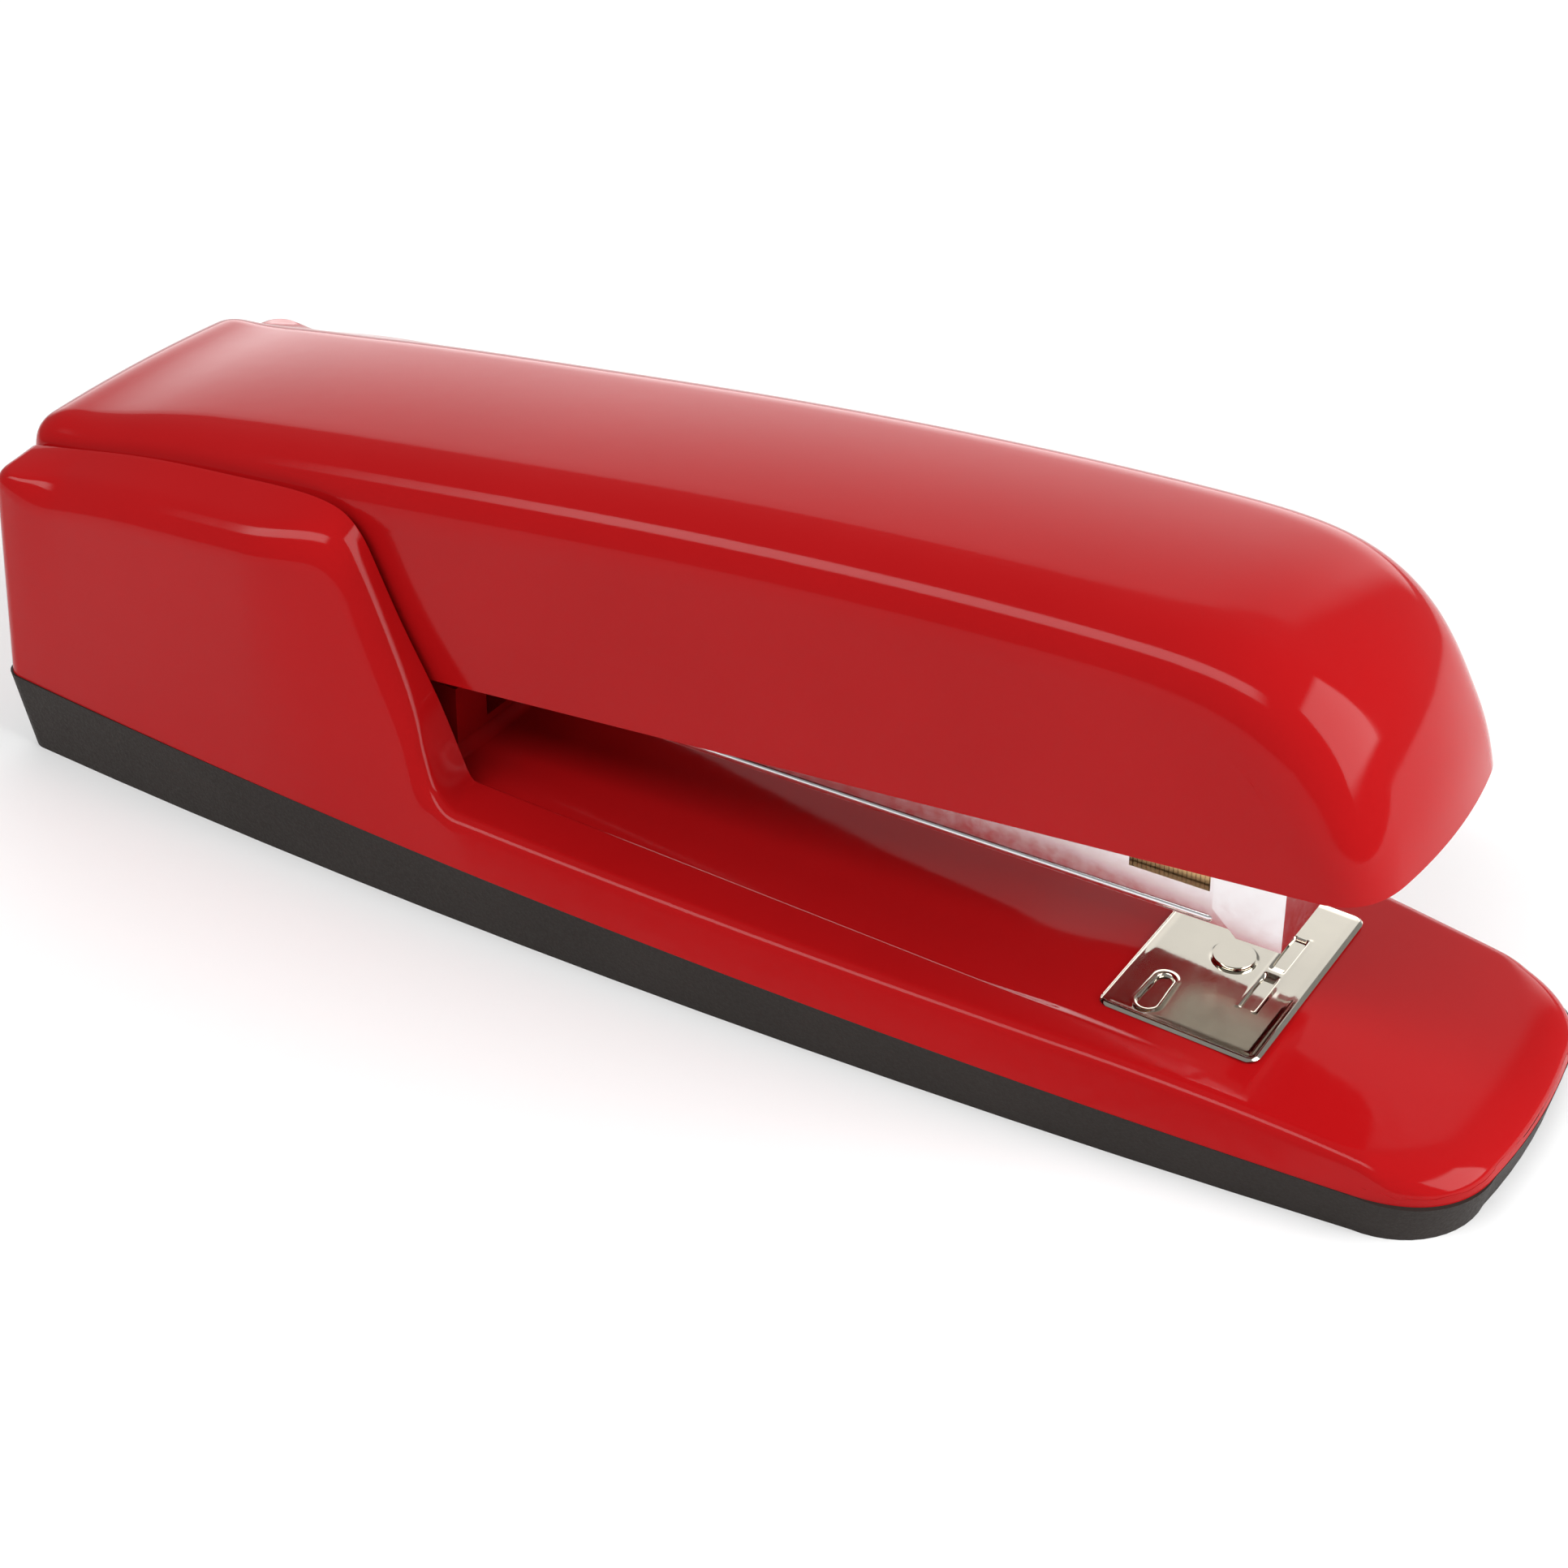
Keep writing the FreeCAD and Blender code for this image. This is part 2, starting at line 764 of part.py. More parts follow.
def magazine_channel():
    """The long steel trough, open on top, whose rear cheeks ride on the hinge pin."""
    floor, top = "channel_floor", "channel_floor + channel_height"
    low = block(
        ("channel_rear + channel_tail", "-channel_half", floor),
        ("channel_front", "channel_half", f"{floor} + channel_wall"),
    )
    walls = []
    for side in (-1, 1):
        corners = [
            ("channel_rear", "-2"),
            ("channel_rear", "2.5", "-1", "4.8"),
            ("4.5", "3.5"),
            ("12", top),
            ("channel_front", top),
            ("channel_front", floor),
            ("channel_rear + channel_tail", floor),
        ]
        at = f"{side} * (channel_half - channel_wall / 2)"
        walls.append(prism(corners, "channel_wall / 2", at))
    trough = fuse(low, *walls)
    window = block(
        ("window_rear", "-across / 2", f"{floor} + window_low"),
        ("window_front", "across / 2", f"{floor} + window_high"),
    )
    mouth = block(
        ("rail_front + 0.1", "-crown_half", f"{floor} - beyond"),
        ("channel_front + beyond", "crown_half", f"{floor} + 2 * channel_wall"),
    )
    return keep(on_magazine(cut(trough, pin_eye(), window, mouth)), "magazine_channel")


def magazine_head():
    """The nose hood round the front of the trough: two sides and a front wall."""
    floor = "channel_floor - head_drop"
    top = "channel_floor + channel_height + head_rise"
    corners = [
        ("head_rear", f"{floor} + head_corner_height"),
        ("head_rear", top),
        ("head_front", top),
        ("head_front", floor),
        ("head_rear + head_corner_length", floor),
    ]
    solid = prism(corners, "head_half")
    inside = block(
        ("head_rear - beyond", "-channel_half", f"{floor} - beyond"),
        ("head_front - channel_wall", "channel_half", f"{top} + beyond"),
    )
    return keep(on_magazine(cut(solid, inside)), "magazine_head")


def staple_rail():
    """The inner rail that staples sit astride, slotted for the pusher's neck."""
    low = "channel_floor + channel_wall"
    top = f"{low} + rail_height"
    solid = block(("rail_rear", "-rail_half", low), ("rail_front", "rail_half", top))
    hollow = block(
        ("rail_rear - beyond", "-rail_half + channel_wall", f"{low} - beyond"),
        ("rail_front - rail_nose", "rail_half - channel_wall", f"{top} - channel_wall"),
    )
    slot = block(
        ("rail_rear + rail_slot_rear", "-rail_slot_half", low),
        ("rail_front - rail_slot_front", "rail_slot_half", f"{top} + beyond"),
    )
    return keep(on_magazine(cut(solid, hollow, slot)), "staple_rail")


def staple_strip():
    """A strip of glued staples astride the front of the rail."""
    low = "channel_floor + channel_wall + strip_gap"
    top = "channel_floor + channel_wall + rail_height + strip_rise"
    outer = block(("strip_rear", "-crown_half", low), ("rail_front", "crown_half", top))
    inner = block(
        ("strip_rear - beyond", "-crown_half + staple_wire", f"{low} - beyond"),
        ("rail_front + beyond", "crown_half - staple_wire", f"{top} - staple_wire"),
    )
    return keep(on_magazine(cut(outer, inner)), "staple_strip")


def pusher():
    """The follower: a saddle astride the rail, a neck through its slot, a block on the rod."""
    low = "channel_floor + channel_wall + pusher_gap"
    top = "channel_floor + channel_wall + rail_height + pusher_rise"
    rear = "strip_rear - pusher_length"
    neck_start = f"{rear} + pusher_neck_start"
    under = f"{top} - pusher_crown / 2"
    saddle = cut(
        block((rear, "-pusher_half", low), ("strip_rear - pin_clearance", "pusher_half", top)),
        block(
            (f"{rear} - beyond", "-pusher_inner_half", f"{low} - beyond"),
            ("strip_rear + beyond", "pusher_inner_half", f"{top} - pusher_crown"),
        ),
    )
    neck = block(
        (neck_start, "-pusher_neck_half", "rod_height + rod_radius"),
        (f"{neck_start} + pusher_neck_length", "pusher_neck_half", under),
    )
    runner = rod((neck_start, "0", "rod_height"), "pusher_neck_length", "runner_radius", "x")
    tab = block((rear, "-tab_half", under), (f"{rear} + tab_thick", "tab_half", "tab_top"))
    bore = rod((rear, "0", "rod_height"), "pusher_length", "rod_radius + pin_clearance", "x")
    return keep(on_magazine(cut(fuse(saddle, neck, runner, tab), bore)), "pusher")


def spring_rod():
    """The thin rod down the middle of the rail that carries the pusher and its spring."""
    start = "anchor_rear + anchor_thick / 2"
    length = f"rail_front - rail_nose - ({start})"
    piece = rod((start, "0", "rod_height"), length, "rod_radius", "x")
    return keep(on_magazine(piece), "spring_rod")


def rod_anchor():
    """The upright tab at the rear of the trough that holds the rod's end."""
    low = "channel_floor + channel_wall"
    front = "anchor_rear + anchor_thick"
    tab = block(("anchor_rear", "-anchor_half", low), (front, "anchor_half", "anchor_top"))
    foot = block(
        ("anchor_rear", "-anchor_half", low),
        ("anchor_rear + anchor_foot", "anchor_half", f"{low} + sheet"),
    )
    start = ("anchor_rear - beyond", "0", "rod_height")
    hole = rod(start, "anchor_foot + beyond", "rod_radius", "x")
    return keep(on_magazine(cut(fuse(tab, foot), hole)), "rod_anchor")


def pusher_spring():
    """The long coil behind the pusher, drawn as the thin tube that it fills."""
    start = "anchor_rear + anchor_thick"
    length = f"strip_rear - pusher_length + pusher_neck_start - ({start})"
    bore_radius = "rod_radius + tube_gap"
    tube = rod((start, "0", "rod_height"), length, f"{bore_radius} + tube_wall", "x")
    bore = rod(("0", "0", "rod_height"), "2 * across", bore_radius, "x")
    return keep(on_magazine(cut(tube, bore)), "pusher_spring")


# ---------------------------------------------------------------- cover


def cover_form(skin, bottom):
    """The handle as a solid, drawn in by skin: flat sides, soft shoulders, a blunt nose."""
    body = new_body("CoverForm")
    lean = f"(4 / 14) * (({bottom}) - cover_bottom)"
    side = [
        (f"cover_rear + {skin}", bottom),
        (f"cover_rear + {skin}", "5.0", f"-11.6 + 0.7 * {skin}", f"11.0 - 0.7 * {skin}"),
        ("-6.5", f"13.6 - {skin}", "38", f"16.9 - {skin}"),
        ("88", f"18.15 - {skin}", "113", f"17.6 - {skin}"),
        ("135.5", f"16.1 - {skin}", f"148.6 - 0.7 * {skin}", f"11.6 - 0.7 * {skin}"),
        (f"153.6 - {skin}", "5.5"),
        (f"cover_nose - {skin} - {lean}", bottom),
    ]
    rear = f"(cover_rear_half - {skin})"
    front = f"(cover_front_half - {skin})"
    pad(body, outline(body, "XZ_Plane", side), f"2 * {rear}", middle=True)
    end = "cover_nose + beyond"
    taper = [
        [
            ("taper_start", f"{s} * {rear}"),
            (end, f"{s} * {front}"),
            (end, f"{s} * ({rear} + beyond)"),
            ("taper_start", f"{s} * ({rear} + beyond)"),
        ]
        for s in (-1, 1)
    ]
    pocket(body, outline(body, "XY_Plane", *taper), "across", middle=True)
    tip = body.Tip
    soft = body.newObject("PartDesign::Fillet", "Shoulders")
    soft.Base = (tip, shoulder_edges(tip, value(bottom)))
    soft.setExpression("Radius", bind(f"cover_round - {skin}"))
    return body


def shoulder_edges(feature, bottom):
    """The edges that run round one side of the handle, but not along its bottom."""
    names = []
    for number, edge in enumerate(feature.Shape.Edges, 1):
        points = [v.Point for v in edge.Vertexes]
        low = all(abs(p.z - bottom) < TINY for p in points)
        apart = value("frame_half")
        one_side = all(p.y > apart for p in points) or all(p.y < -apart for p in points)
        if one_side and not low:
            names.append(f"Edge{number}")
    return names


def cover_shell():
    """The red handle: a deep pressed shell, open below, with an eye for the pin each side."""
    outer = cover_form("0", "cover_bottom")
    inner = cover_form("cover_skin", "cover_bottom - beyond")
    return keep(on_cover(cut(outer, inner, pin_eye())), "cover_shell")


def cover_frame():
    """The steel channel under the cover's roof, with lugs down to the hinge pin."""
    corners = [
        ("-5", "-3"),
        ("-5", "2"),
        ("frame_tail", "12"),
        ("frame_front", "frame_top"),
        ("frame_front", "frame_top - frame_depth"),
        ("30", "12.5 - frame_depth"),
        ("8", "0"),
        ("5", "-3.5", "0", "-6.2"),
    ]
    solid = prism(corners, "frame_half")
    inner = "(frame_half - sheet)"
    far = "frame_front + beyond"
    below = block(("-across", f"-{inner}", "-across"), ("2 * across", inner, "10.9"))
    roof = [("frame_tail", "8"), ("frame_tail", "11"), (far, "frame_top - sheet"), (far, "8")]
    behind = block(("-across", f"-{inner}", "-across"), ("frame_tail", inner, "across"))
    tools = (below, prism(roof, inner), behind, pin_eye())
    return keep(on_cover(cut(solid, *tools)), "cover_frame")


def driver_blade():
    """The hard steel blade that drives a staple, hung from the front of the frame."""
    rear = "driver_place - driver_thick"
    blade = block(
        (rear, "-driver_half", "driver_bottom"),
        ("driver_place", "driver_half", "driver_flange_high"),
    )
    flange = block(
        ("frame_front - driver_flange", "-driver_half", "driver_flange_low"),
        ("driver_place", "driver_half", "driver_flange_high"),
    )
    return keep(on_cover(fuse(blade, flange)), "driver_blade")


def driver_rivets():
    """The two rivets that hold the blade's flange under the frame."""
    x = "frame_front - driver_flange / 2"
    places = [(x, "-driver_rivet_half"), (x, "driver_rivet_half")]
    low, high = "driver_flange_low - 0.4", "frame_top + 0.1"
    group = rivets(places, "rivet_radius", low, high, "0.6")
    return keep(on_cover(group), "driver_rivets")


def return_spring():
    """The leaf under the frame that bears on the magazine's edges and lifts the handle."""
    line = [
        ("75", "12.04"),
        ("62", "11.83"),
        ("44", "-0.1"),
        ("38", "-2.42"),
        ("34", "-2.0"),
    ]
    return leaf(line, "return_half", "return_thick", "return_spring", on_cover)


def frame_posts():
    """Two short posts that hold the frame under the cover's roof."""
    group = doc.addObject("Part::Compound", "Posts")
    group.Links = [
        rod((x, "0", low), length, "post_half")
        for x, low, length in (("40", "12.3", "3.6"), ("112", "13.5", "3.1"))
    ]
    return keep(on_cover(group), "frame_posts")


def build():
    """Makes every sub-part."""
    base_pad()
    base_shell()
    hinge_bracket(-1, "hinge_bracket_right")
    hinge_bracket(1, "hinge_bracket_left")
    magazine_guide()
    bracket_rivets()
    guide_rivets()
    hinge_pin()
    gap = "bracket_outer + pin_washer_gap"
    pin_washer(gap, "pin_washer_left")
    pin_washer(f"-({gap}) - pin_washer_thick", "pin_washer_right")
    lift_spring()
    anvil_plate()
    anvil_stud()
    anvil_button()
    anvil_washer()
    anvil_spring()
    magazine_channel()
    magazine_head()
    staple_rail()
    staple_strip()
    pusher()
    spring_rod()
    rod_anchor()
    pusher_spring()
    cover_shell()
    cover_frame()
    driver_blade()
    driver_rivets()
    return_spring()
    frame_posts()


def check():
    """Stops if any object failed or any sub-part is not a sound solid."""
    failed = [o.Label for o in doc.Objects if {"Invalid", "Error"} & set(o.State)]
    if failed:
        raise RuntimeError(f"failed objects: {failed}")
    for piece in nodes:
        if piece.Shape.isNull() or not piece.Shape.isValid():
            raise RuntimeError(f"{piece.Label} is not a valid shape")


def write():
    os.makedirs("parts", exist_ok=True)
    for piece in nodes:
        piece.Shape.exportStep(f"parts/{piece.Label}.step")
        solids = len(piece.Shape.Solids)
        print(f"{piece.Label}: {solids} solid(s), {piece.Shape.Volume:.1f} mm3")


build()
doc.recompute()
check()
write()
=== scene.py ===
"""The stapler's looks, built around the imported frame.

Sizes below are millimetres in the row frame (+X to the nose, +Z up), and to_metres turns them
into Blender's metres. Only the floor, the lights and the depth of bumps are in metres. The
enamelled shells are swept from a few curves. Small steel pieces keep their CAD shape, or are
drawn again here where they show more detail or have to clear a neighbour at a joint's limit.
"""

import math

import bmesh
import bpy
import numpy as np
from mathutils import Matrix, Vector


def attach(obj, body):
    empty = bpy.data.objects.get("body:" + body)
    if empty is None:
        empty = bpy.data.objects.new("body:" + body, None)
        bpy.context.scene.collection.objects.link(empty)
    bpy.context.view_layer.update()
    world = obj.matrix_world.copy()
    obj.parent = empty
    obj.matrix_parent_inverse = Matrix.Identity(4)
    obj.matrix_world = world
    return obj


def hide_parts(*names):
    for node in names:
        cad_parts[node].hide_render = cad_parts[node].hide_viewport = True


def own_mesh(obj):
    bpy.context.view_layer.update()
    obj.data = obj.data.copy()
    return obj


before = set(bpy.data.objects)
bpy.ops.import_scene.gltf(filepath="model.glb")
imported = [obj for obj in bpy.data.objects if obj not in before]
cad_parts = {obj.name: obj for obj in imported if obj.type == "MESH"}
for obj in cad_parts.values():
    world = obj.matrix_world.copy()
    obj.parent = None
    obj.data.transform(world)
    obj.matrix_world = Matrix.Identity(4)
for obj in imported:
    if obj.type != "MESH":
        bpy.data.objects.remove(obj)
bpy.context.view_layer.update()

MM = 0.001

# the base
SEAM_HEIGHT = 6.97  # where the red shell meets the black pad, at x = 0
SEAM_FALL = 0.0306  # per millimetre towards the nose
DECK_HEIGHT = 5.2  # above the seam
DECK_DROP = (50.0, 0.00159)  # where the deck starts to curve down to the nose, and how fast
HALF_LENGTH = 92.2
LIP = 18.9  # half the gap between the ears
LIP_FRONT = -28.0  # the lips' rounding stops here, close to the deck
REAR_POLE = (-79.0, -LIP)  # the points that the sections round each end run to
NOSE_POLE = (79.0, -13.5)
RIM_BEND = 55.0  # from here to the nose pole the deck's rim closes in
BASE_SHEET = 1.0

# the handle
COVER_HALF = 18.2
COVER_TAPER = 1.0  # how much narrower each side is at the nose
COVER_SHEET = 0.9

# the hinge pin, and how the parts that turn on it or lie on the deck are tilted
PIN = (-78.0, 28.0)
COVER_PITCH = 5.54  # degrees, nose up
MAGAZINE_PITCH = 1.05
DECK_PITCH = 1.753


# ---------------------------------------------------------------- small tools


def to_metres(points):
    """The points as plain tuples, from millimetres."""
    return [tuple(float(c) * MM for c in p) for p in points]


def smooth_step(x, low, high):
    """0 below low, 1 above high, and a smooth rise between."""
    t = np.clip((np.asarray(x, float) - low) / (high - low), 0.0, 1.0)
    return t * t * (3.0 - 2.0 * t)


def stepped(x, start, *steps):
    """start, plus a smooth change over each step (change, low, high)."""
    value = start
    for change, low, high in steps:
        value = value + change * smooth_step(x, low, high)
    return value


def smooth_max(a, b, k):
    """The larger of a and b, blended where they are within k of each other."""
    share = np.clip(0.5 + 0.5 * (a - b) / k, 0.0, 1.0)
    return b + (a - b) * share + k * share * (1.0 - share)


def natural_spline(points):
    """A natural cubic spline through points, as a function of the distance along them."""
    points = np.asarray(points, float)
    knots = np.concatenate(([0.0], np.cumsum(np.linalg.norm(np.diff(points, axis=0), axis=1))))
    count = len(points)
    gaps = np.diff(knots)
    matrix = np.eye(count)
    right = np.zeros_like(points)
    for i in range(1, count - 1):
        matrix[i, i - 1] = gaps[i - 1]
        matrix[i, i] = 2.0 * (gaps[i - 1] + gaps[i])
        matrix[i, i + 1] = gaps[i]
        rise = (points[i + 1] - points[i]) / gaps[i] - (points[i] - points[i - 1]) / gaps[i - 1]
        right[i] = 6.0 * rise
    bend = np.linalg.solve(matrix, right)

    def at(distance):
        distance = np.clip(np.asarray(distance, float), 0.0, knots[-1])
        i = np.clip(np.searchsorted(knots, distance, side="right") - 1, 0, count - 2)
        gap = gaps[i][..., None]
        after = (distance - knots[i])[..., None]
        before = gap - after
        start, end = points[i], points[i + 1]
        return (
            bend[i] * before**3 / (6 * gap)
            + bend[i + 1] * after**3 / (6 * gap)
            + (start / gap - bend[i] * gap / 6) * before
            + (end / gap - bend[i + 1] * gap / 6) * after
        )

    return at, knots[-1]


CURVE_SAMPLES = 900


def height_curve(points):
    """A smooth height over x through points, straight on beyond its ends."""
    at, length = natural_spline(points)
    samples = at(np.linspace(0.0, length, CURVE_SAMPLES))
    first, last = samples[:2], samples[-2:]
    low_slope = (first[1, 1] - first[0, 1]) / (first[1, 0] - first[0, 0])
    high_slope = (last[1, 1] - last[0, 1]) / (last[1, 0] - last[0, 0])

    def height(x):
        x = np.asarray(x, float)
        inside = np.interp(x, samples[:, 0], samples[:, 1])
        below = np.minimum(x - samples[0, 0], 0.0) * low_slope
        above = np.maximum(x - samples[-1, 0], 0.0) * high_slope
        return inside + below + above

    return height


def bezier(a, b, c, d, shares):
    """Points of a cubic Bezier. Each end is an array of points, and shares run from 0 to 1."""
    t = np.asarray(shares)[None, :, None]
    a, b, c, d = (p[:, None, :] for p in (a, b, c, d))
    return (1 - t) ** 3 * a + 3 * (1 - t) ** 2 * t * b + 3 * (1 - t) * t * t * c + t**3 * d


def grid_faces(rows, columns, first=0, flip=False):
    """The quads of a grid of points stored row by row."""
    faces = []
    for i in range(rows - 1):
        for j in range(columns - 1):
            a = first + i * columns + j
            quad = (a, a + 1, a + columns + 1, a + columns)
            faces.append(quad[::-1] if flip else quad)
    return faces


WELD = 0.004  # points closer than this become one
NO_LENGTH = 1e-7  # in metres: shorter edges are dissolved
MIRROR = np.array([1.0, -1.0, 1.0])


class Patchwork:
    """Grids of points that are welded into one mesh."""

    def __init__(self):
        self.points = []
        self.faces = []

    def add(self, grid, flip=False):
        """Adds a grid of points, with an array's shape of rows, columns and 3."""
        rows, columns = grid.shape[:2]
        self.faces += grid_faces(rows, columns, len(self.points), flip)
        self.points += grid.reshape(-1, 3).tolist()

    def add_both_sides(self, grid, flip=False):
        """Adds a grid and its mirror image on the far side."""
        self.add(grid, flip)
        self.add(grid * MIRROR, not flip)

    def build(self, name, weld=WELD):
        """Makes an object of what was added, with points closer than weld made one."""
        mesh = bpy.data.meshes.new(name)
        mesh.from_pydata(to_metres(self.points), [], self.faces)
        work = bmesh.new()
        work.from_mesh(mesh)
        bmesh.ops.remove_doubles(work, verts=work.verts, dist=weld * MM)
        bmesh.ops.dissolve_degenerate(work, edges=work.edges, dist=NO_LENGTH)
        work.to_mesh(mesh)
        work.free()
        return add_object(name, mesh)


def add_object(name, mesh):
    """Puts a mesh into the scene as an object."""
    piece = bpy.data.objects.new(name, mesh)
    bpy.context.scene.collection.objects.link(piece)
    return piece


SHARP = 35.0  # degrees between two faces, beyond which their edge stays sharp
ROUND_PIECE = 80.0  # for wire and tubes with few faces round them


def smooth_shade(piece, angle=SHARP):
    """Smooth shading, with edges sharper than angle kept sharp."""
    work = bmesh.new()
    work.from_mesh(piece.data)
    limit = math.radians(angle)
    for face in work.faces:
        face.smooth = True
    for edge in work.edges:
        edge.smooth = len(edge.link_faces) != 2 or edge.calc_face_angle(0.0) < limit
    work.to_mesh(piece.data)
    work.free()


def apply_modifiers(piece):
    """Bakes the piece's own modifiers into its mesh."""
    bpy.context.view_layer.update()
    graph = bpy.context.evaluated_depsgraph_get()
    mesh = bpy.data.meshes.new_from_object(piece.evaluated_get(graph))
    piece.modifiers.clear()
    piece.data = mesh


def face_outwards(piece):
    """Turns all faces the same way, outwards."""
    work = bmesh.new()
    work.from_mesh(piece.data)
    bmesh.ops.recalc_face_normals(work, faces=work.faces)
    top = max(work.faces, key=lambda f: f.calc_center_median().z)
    if top.normal.z < 0:
        bmesh.ops.reverse_faces(work, faces=work.faces)
    work.to_mesh(piece.data)
    work.free()


def thicken(piece, thickness):
    """Gives a surface the sheet's thickness, inwards."""
    solid = piece.modifiers.new("Sheet", "SOLIDIFY")
    solid.thickness = thickness * MM
    solid.offset = -1.0
    solid.use_rim = True
    apply_modifiers(piece)


LIP_ROUND = 0.45
LIP_SEGMENTS = 3
LIP_SNAP = 0.02  # how far an end of a lip's edge may be from the lip's plane


def round_lips(piece, skin_count):
    """Rounds the upper edges of the ears' lips. The first skin_count vertices are the skin."""
    mesh = piece.data
    weights = mesh.attributes.new("bevel_weight_edge", "FLOAT", "EDGE")
    for edge in mesh.edges:
        ends = [mesh.vertices[i].co / MM for i in edge.vertices]
        on_skin = max(edge.vertices) < skin_count
        on_lip = all(abs(abs(end.y) - LIP) < LIP_SNAP and end.x < LIP_FRONT for end in ends)
        weights.data[edge.index].value = 1.0 if on_skin and on_lip else 0.0
    soft = piece.modifiers.new("Soft", "BEVEL")
    soft.width = LIP_ROUND * MM
    soft.segments = LIP_SEGMENTS
    soft.limit_method = "WEIGHT"
    apply_modifiers(piece)


def finish_piece(piece, body, material, replaced=(), angle=SHARP):
    """Shades a new piece, gives it its material and fixes it to its body."""
    smooth_shade(piece, angle)
    piece.data.materials.clear()
    piece.data.materials.append(material)
    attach(piece, body)
    if replaced:
        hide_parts(*replaced)


def turned(points, pitch, origin):
    """A part's own (x, y, z) points, turned nose up by pitch degrees and moved to (x, z)."""
    points = np.asarray(points, float)
    c, s = math.cos(math.radians(pitch)), math.sin(math.radians(pitch))
    out = points.copy()
    out[..., 0] = points[..., 0] * c - points[..., 2] * s + origin[0]
    out[..., 2] = points[..., 0] * s + points[..., 2] * c + origin[1]
    return out


def on_magazine(points):
    """From x along the magazine and z above it, both from the hinge pin."""
    return turned(points, MAGAZINE_PITCH, PIN)


def on_cover(points):
    """From x along the handle and z above it, both from the hinge pin."""
    return turned(points, COVER_PITCH, PIN)


def on_deck(points):
    """From x along the deck and z above the seam, which is straight."""
    return turned(points, -DECK_PITCH, (0.0, SEAM_HEIGHT))


# ---------------------------------------------------------------- materials


EVEN = (1.0, 1.0, 1.0)  # the same along every axis
ALONG_X = (0.08, 1.0, 1.0)  # long brush marks along x
SHORT_ALONG_X = (0.2, 1.0, 1.0)


class Nodes:
    """A material's node tree, with short ways to add and join nodes."""

    def __init__(self, name):
        self.material = bpy.data.materials.new(name)
        self.material.use_nodes = True
        self.tree = self.material.node_tree
        self.shader = self.tree.nodes["Principled BSDF"]

    def add(self, kind):
        return self.tree.nodes.new(kind)

    def join(self, source, output, target, socket):
        self.tree.links.new(source.outputs[output], target.inputs[socket])

    def set(self, **settings):
        """Sets the shader's own inputs, with _ for the spaces in their names."""
        for key, setting in settings.items():
            self.shader.inputs[key.replace("_", " ")].default_value = setting

    def noise(self, scale, detail=2.0, roughness=0.5, stretch=EVEN):
        """Noise over the object's own coordinates, in metres."""
        place = self.add("ShaderNodeTexCoord")
        spread = self.add("ShaderNodeMapping")
        spread.inputs["Scale"].default_value = stretch
        self.join(place, "Object", spread, "Vector")
        noise = self.add("ShaderNodeTexNoise")
        noise.inputs["Scale"].default_value = scale
        noise.inputs["Detail"].default_value = detail
        noise.inputs["Roughness"].default_value = roughness
        self.join(spread, "Vector", noise, "Vector")
        return noise

    def ramp(self, source, output, stops):
        """Maps a value to colours or greys at stops (position, grey or colour)."""
        ramp = self.add("ShaderNodeValToRGB")
        elements = ramp.color_ramp.elements
        while len(elements) < len(stops):
            elements.new(0.5)
        for element, (position, colour) in zip(elements, stops):
            element.position = position
            if isinstance(colour, (int, float)):
                colour = (colour, colour, colour)
            element.color = (*colour, 1.0)
        self.join(source, output, ramp, "Fac")
        return ramp

    def colour(self, source, stops):
        """Colours the surface by a noise."""
        self.join(self.ramp(source, "Fac", stops), "Color", self.shader, "Base Color")

    def gloss(self, source, stops):
        """Varies the roughness by a noise."""
        self.join(self.ramp(source, "Fac", stops), "Color", self.shader, "Roughness")

    def bump(self, source, strength, distance):
        """Roughens the surface by a noise, distance metres deep."""
        bump = self.add("ShaderNodeBump")
        bump.inputs["Strength"].default_value = strength
        bump.inputs["Distance"].default_value = distance
        self.join(source, "Fac", bump, "Height")
        self.join(bump, "Normal", self.shader, "Normal")


def enamel():
    """Deep red baked enamel: glossy, with a faint orange peel and a few specks of dust."""
    dark_red, bright_red = (0.355, 0.0045, 0.0055), (0.378, 0.0055, 0.0067)
    clean, dusty = 0.07, 0.12
    n = Nodes("red_enamel")
    tone = n.noise(35.0, detail=3.0)
    n.colour(tone, [(0.3, dark_red), (0.7, bright_red)])
    dust = n.noise(900.0, detail=4.0, roughness=0.7)
    n.gloss(dust, [(0.45, clean), (0.75, dusty)])
    peel = n.noise(420.0, detail=1.0)
    n.bump(peel, 0.035, 0.0002)
    n.set(IOR=1.5, Specular_IOR_Level=0.13)
    return n.material


def rubber():
    """The pad's black: matt, warm and finely pitted."""
    dark, pale = (0.0190, 0.0145, 0.0125), (0.0240, 0.0185, 0.0160)
    n = Nodes("black_rubber")
    grain = n.noise(2600.0, detail=3.0, roughness=0.65)
    cloud = n.noise(60.0, detail=3.0)
    n.colour(cloud, [(0.3, dark), (0.7, pale)])
    n.gloss(grain, [(0.3, 0.5), (0.7, 0.68)])
    n.bump(grain, 0.22, 0.0003)
    n.set(IOR=1.5, Specular_IOR_Level=0.2)
    return n.material


def metal(name, colour, roughness, spread, brush, strength, metallic=1.0):
    """Plated steel: brush stretches its fine marks, and roughness varies by spread."""
    dark = tuple(c * 0.93 for c in colour)
    smoothest, roughest = max(roughness - spread, 0.0), roughness + spread
    n = Nodes(name)
    n.set(Metallic=metallic)
    cloud = n.noise(120.0, detail=3.0)
    n.colour(cloud, [(0.3, dark), (0.7, colour)])
    marks = n.noise(900.0, detail=4.0, roughness=0.6, stretch=brush)
    n.gloss(marks, [(0.3, smoothest), (0.7, roughest)])
    n.bump(marks, strength, 0.0001)
    return n.material


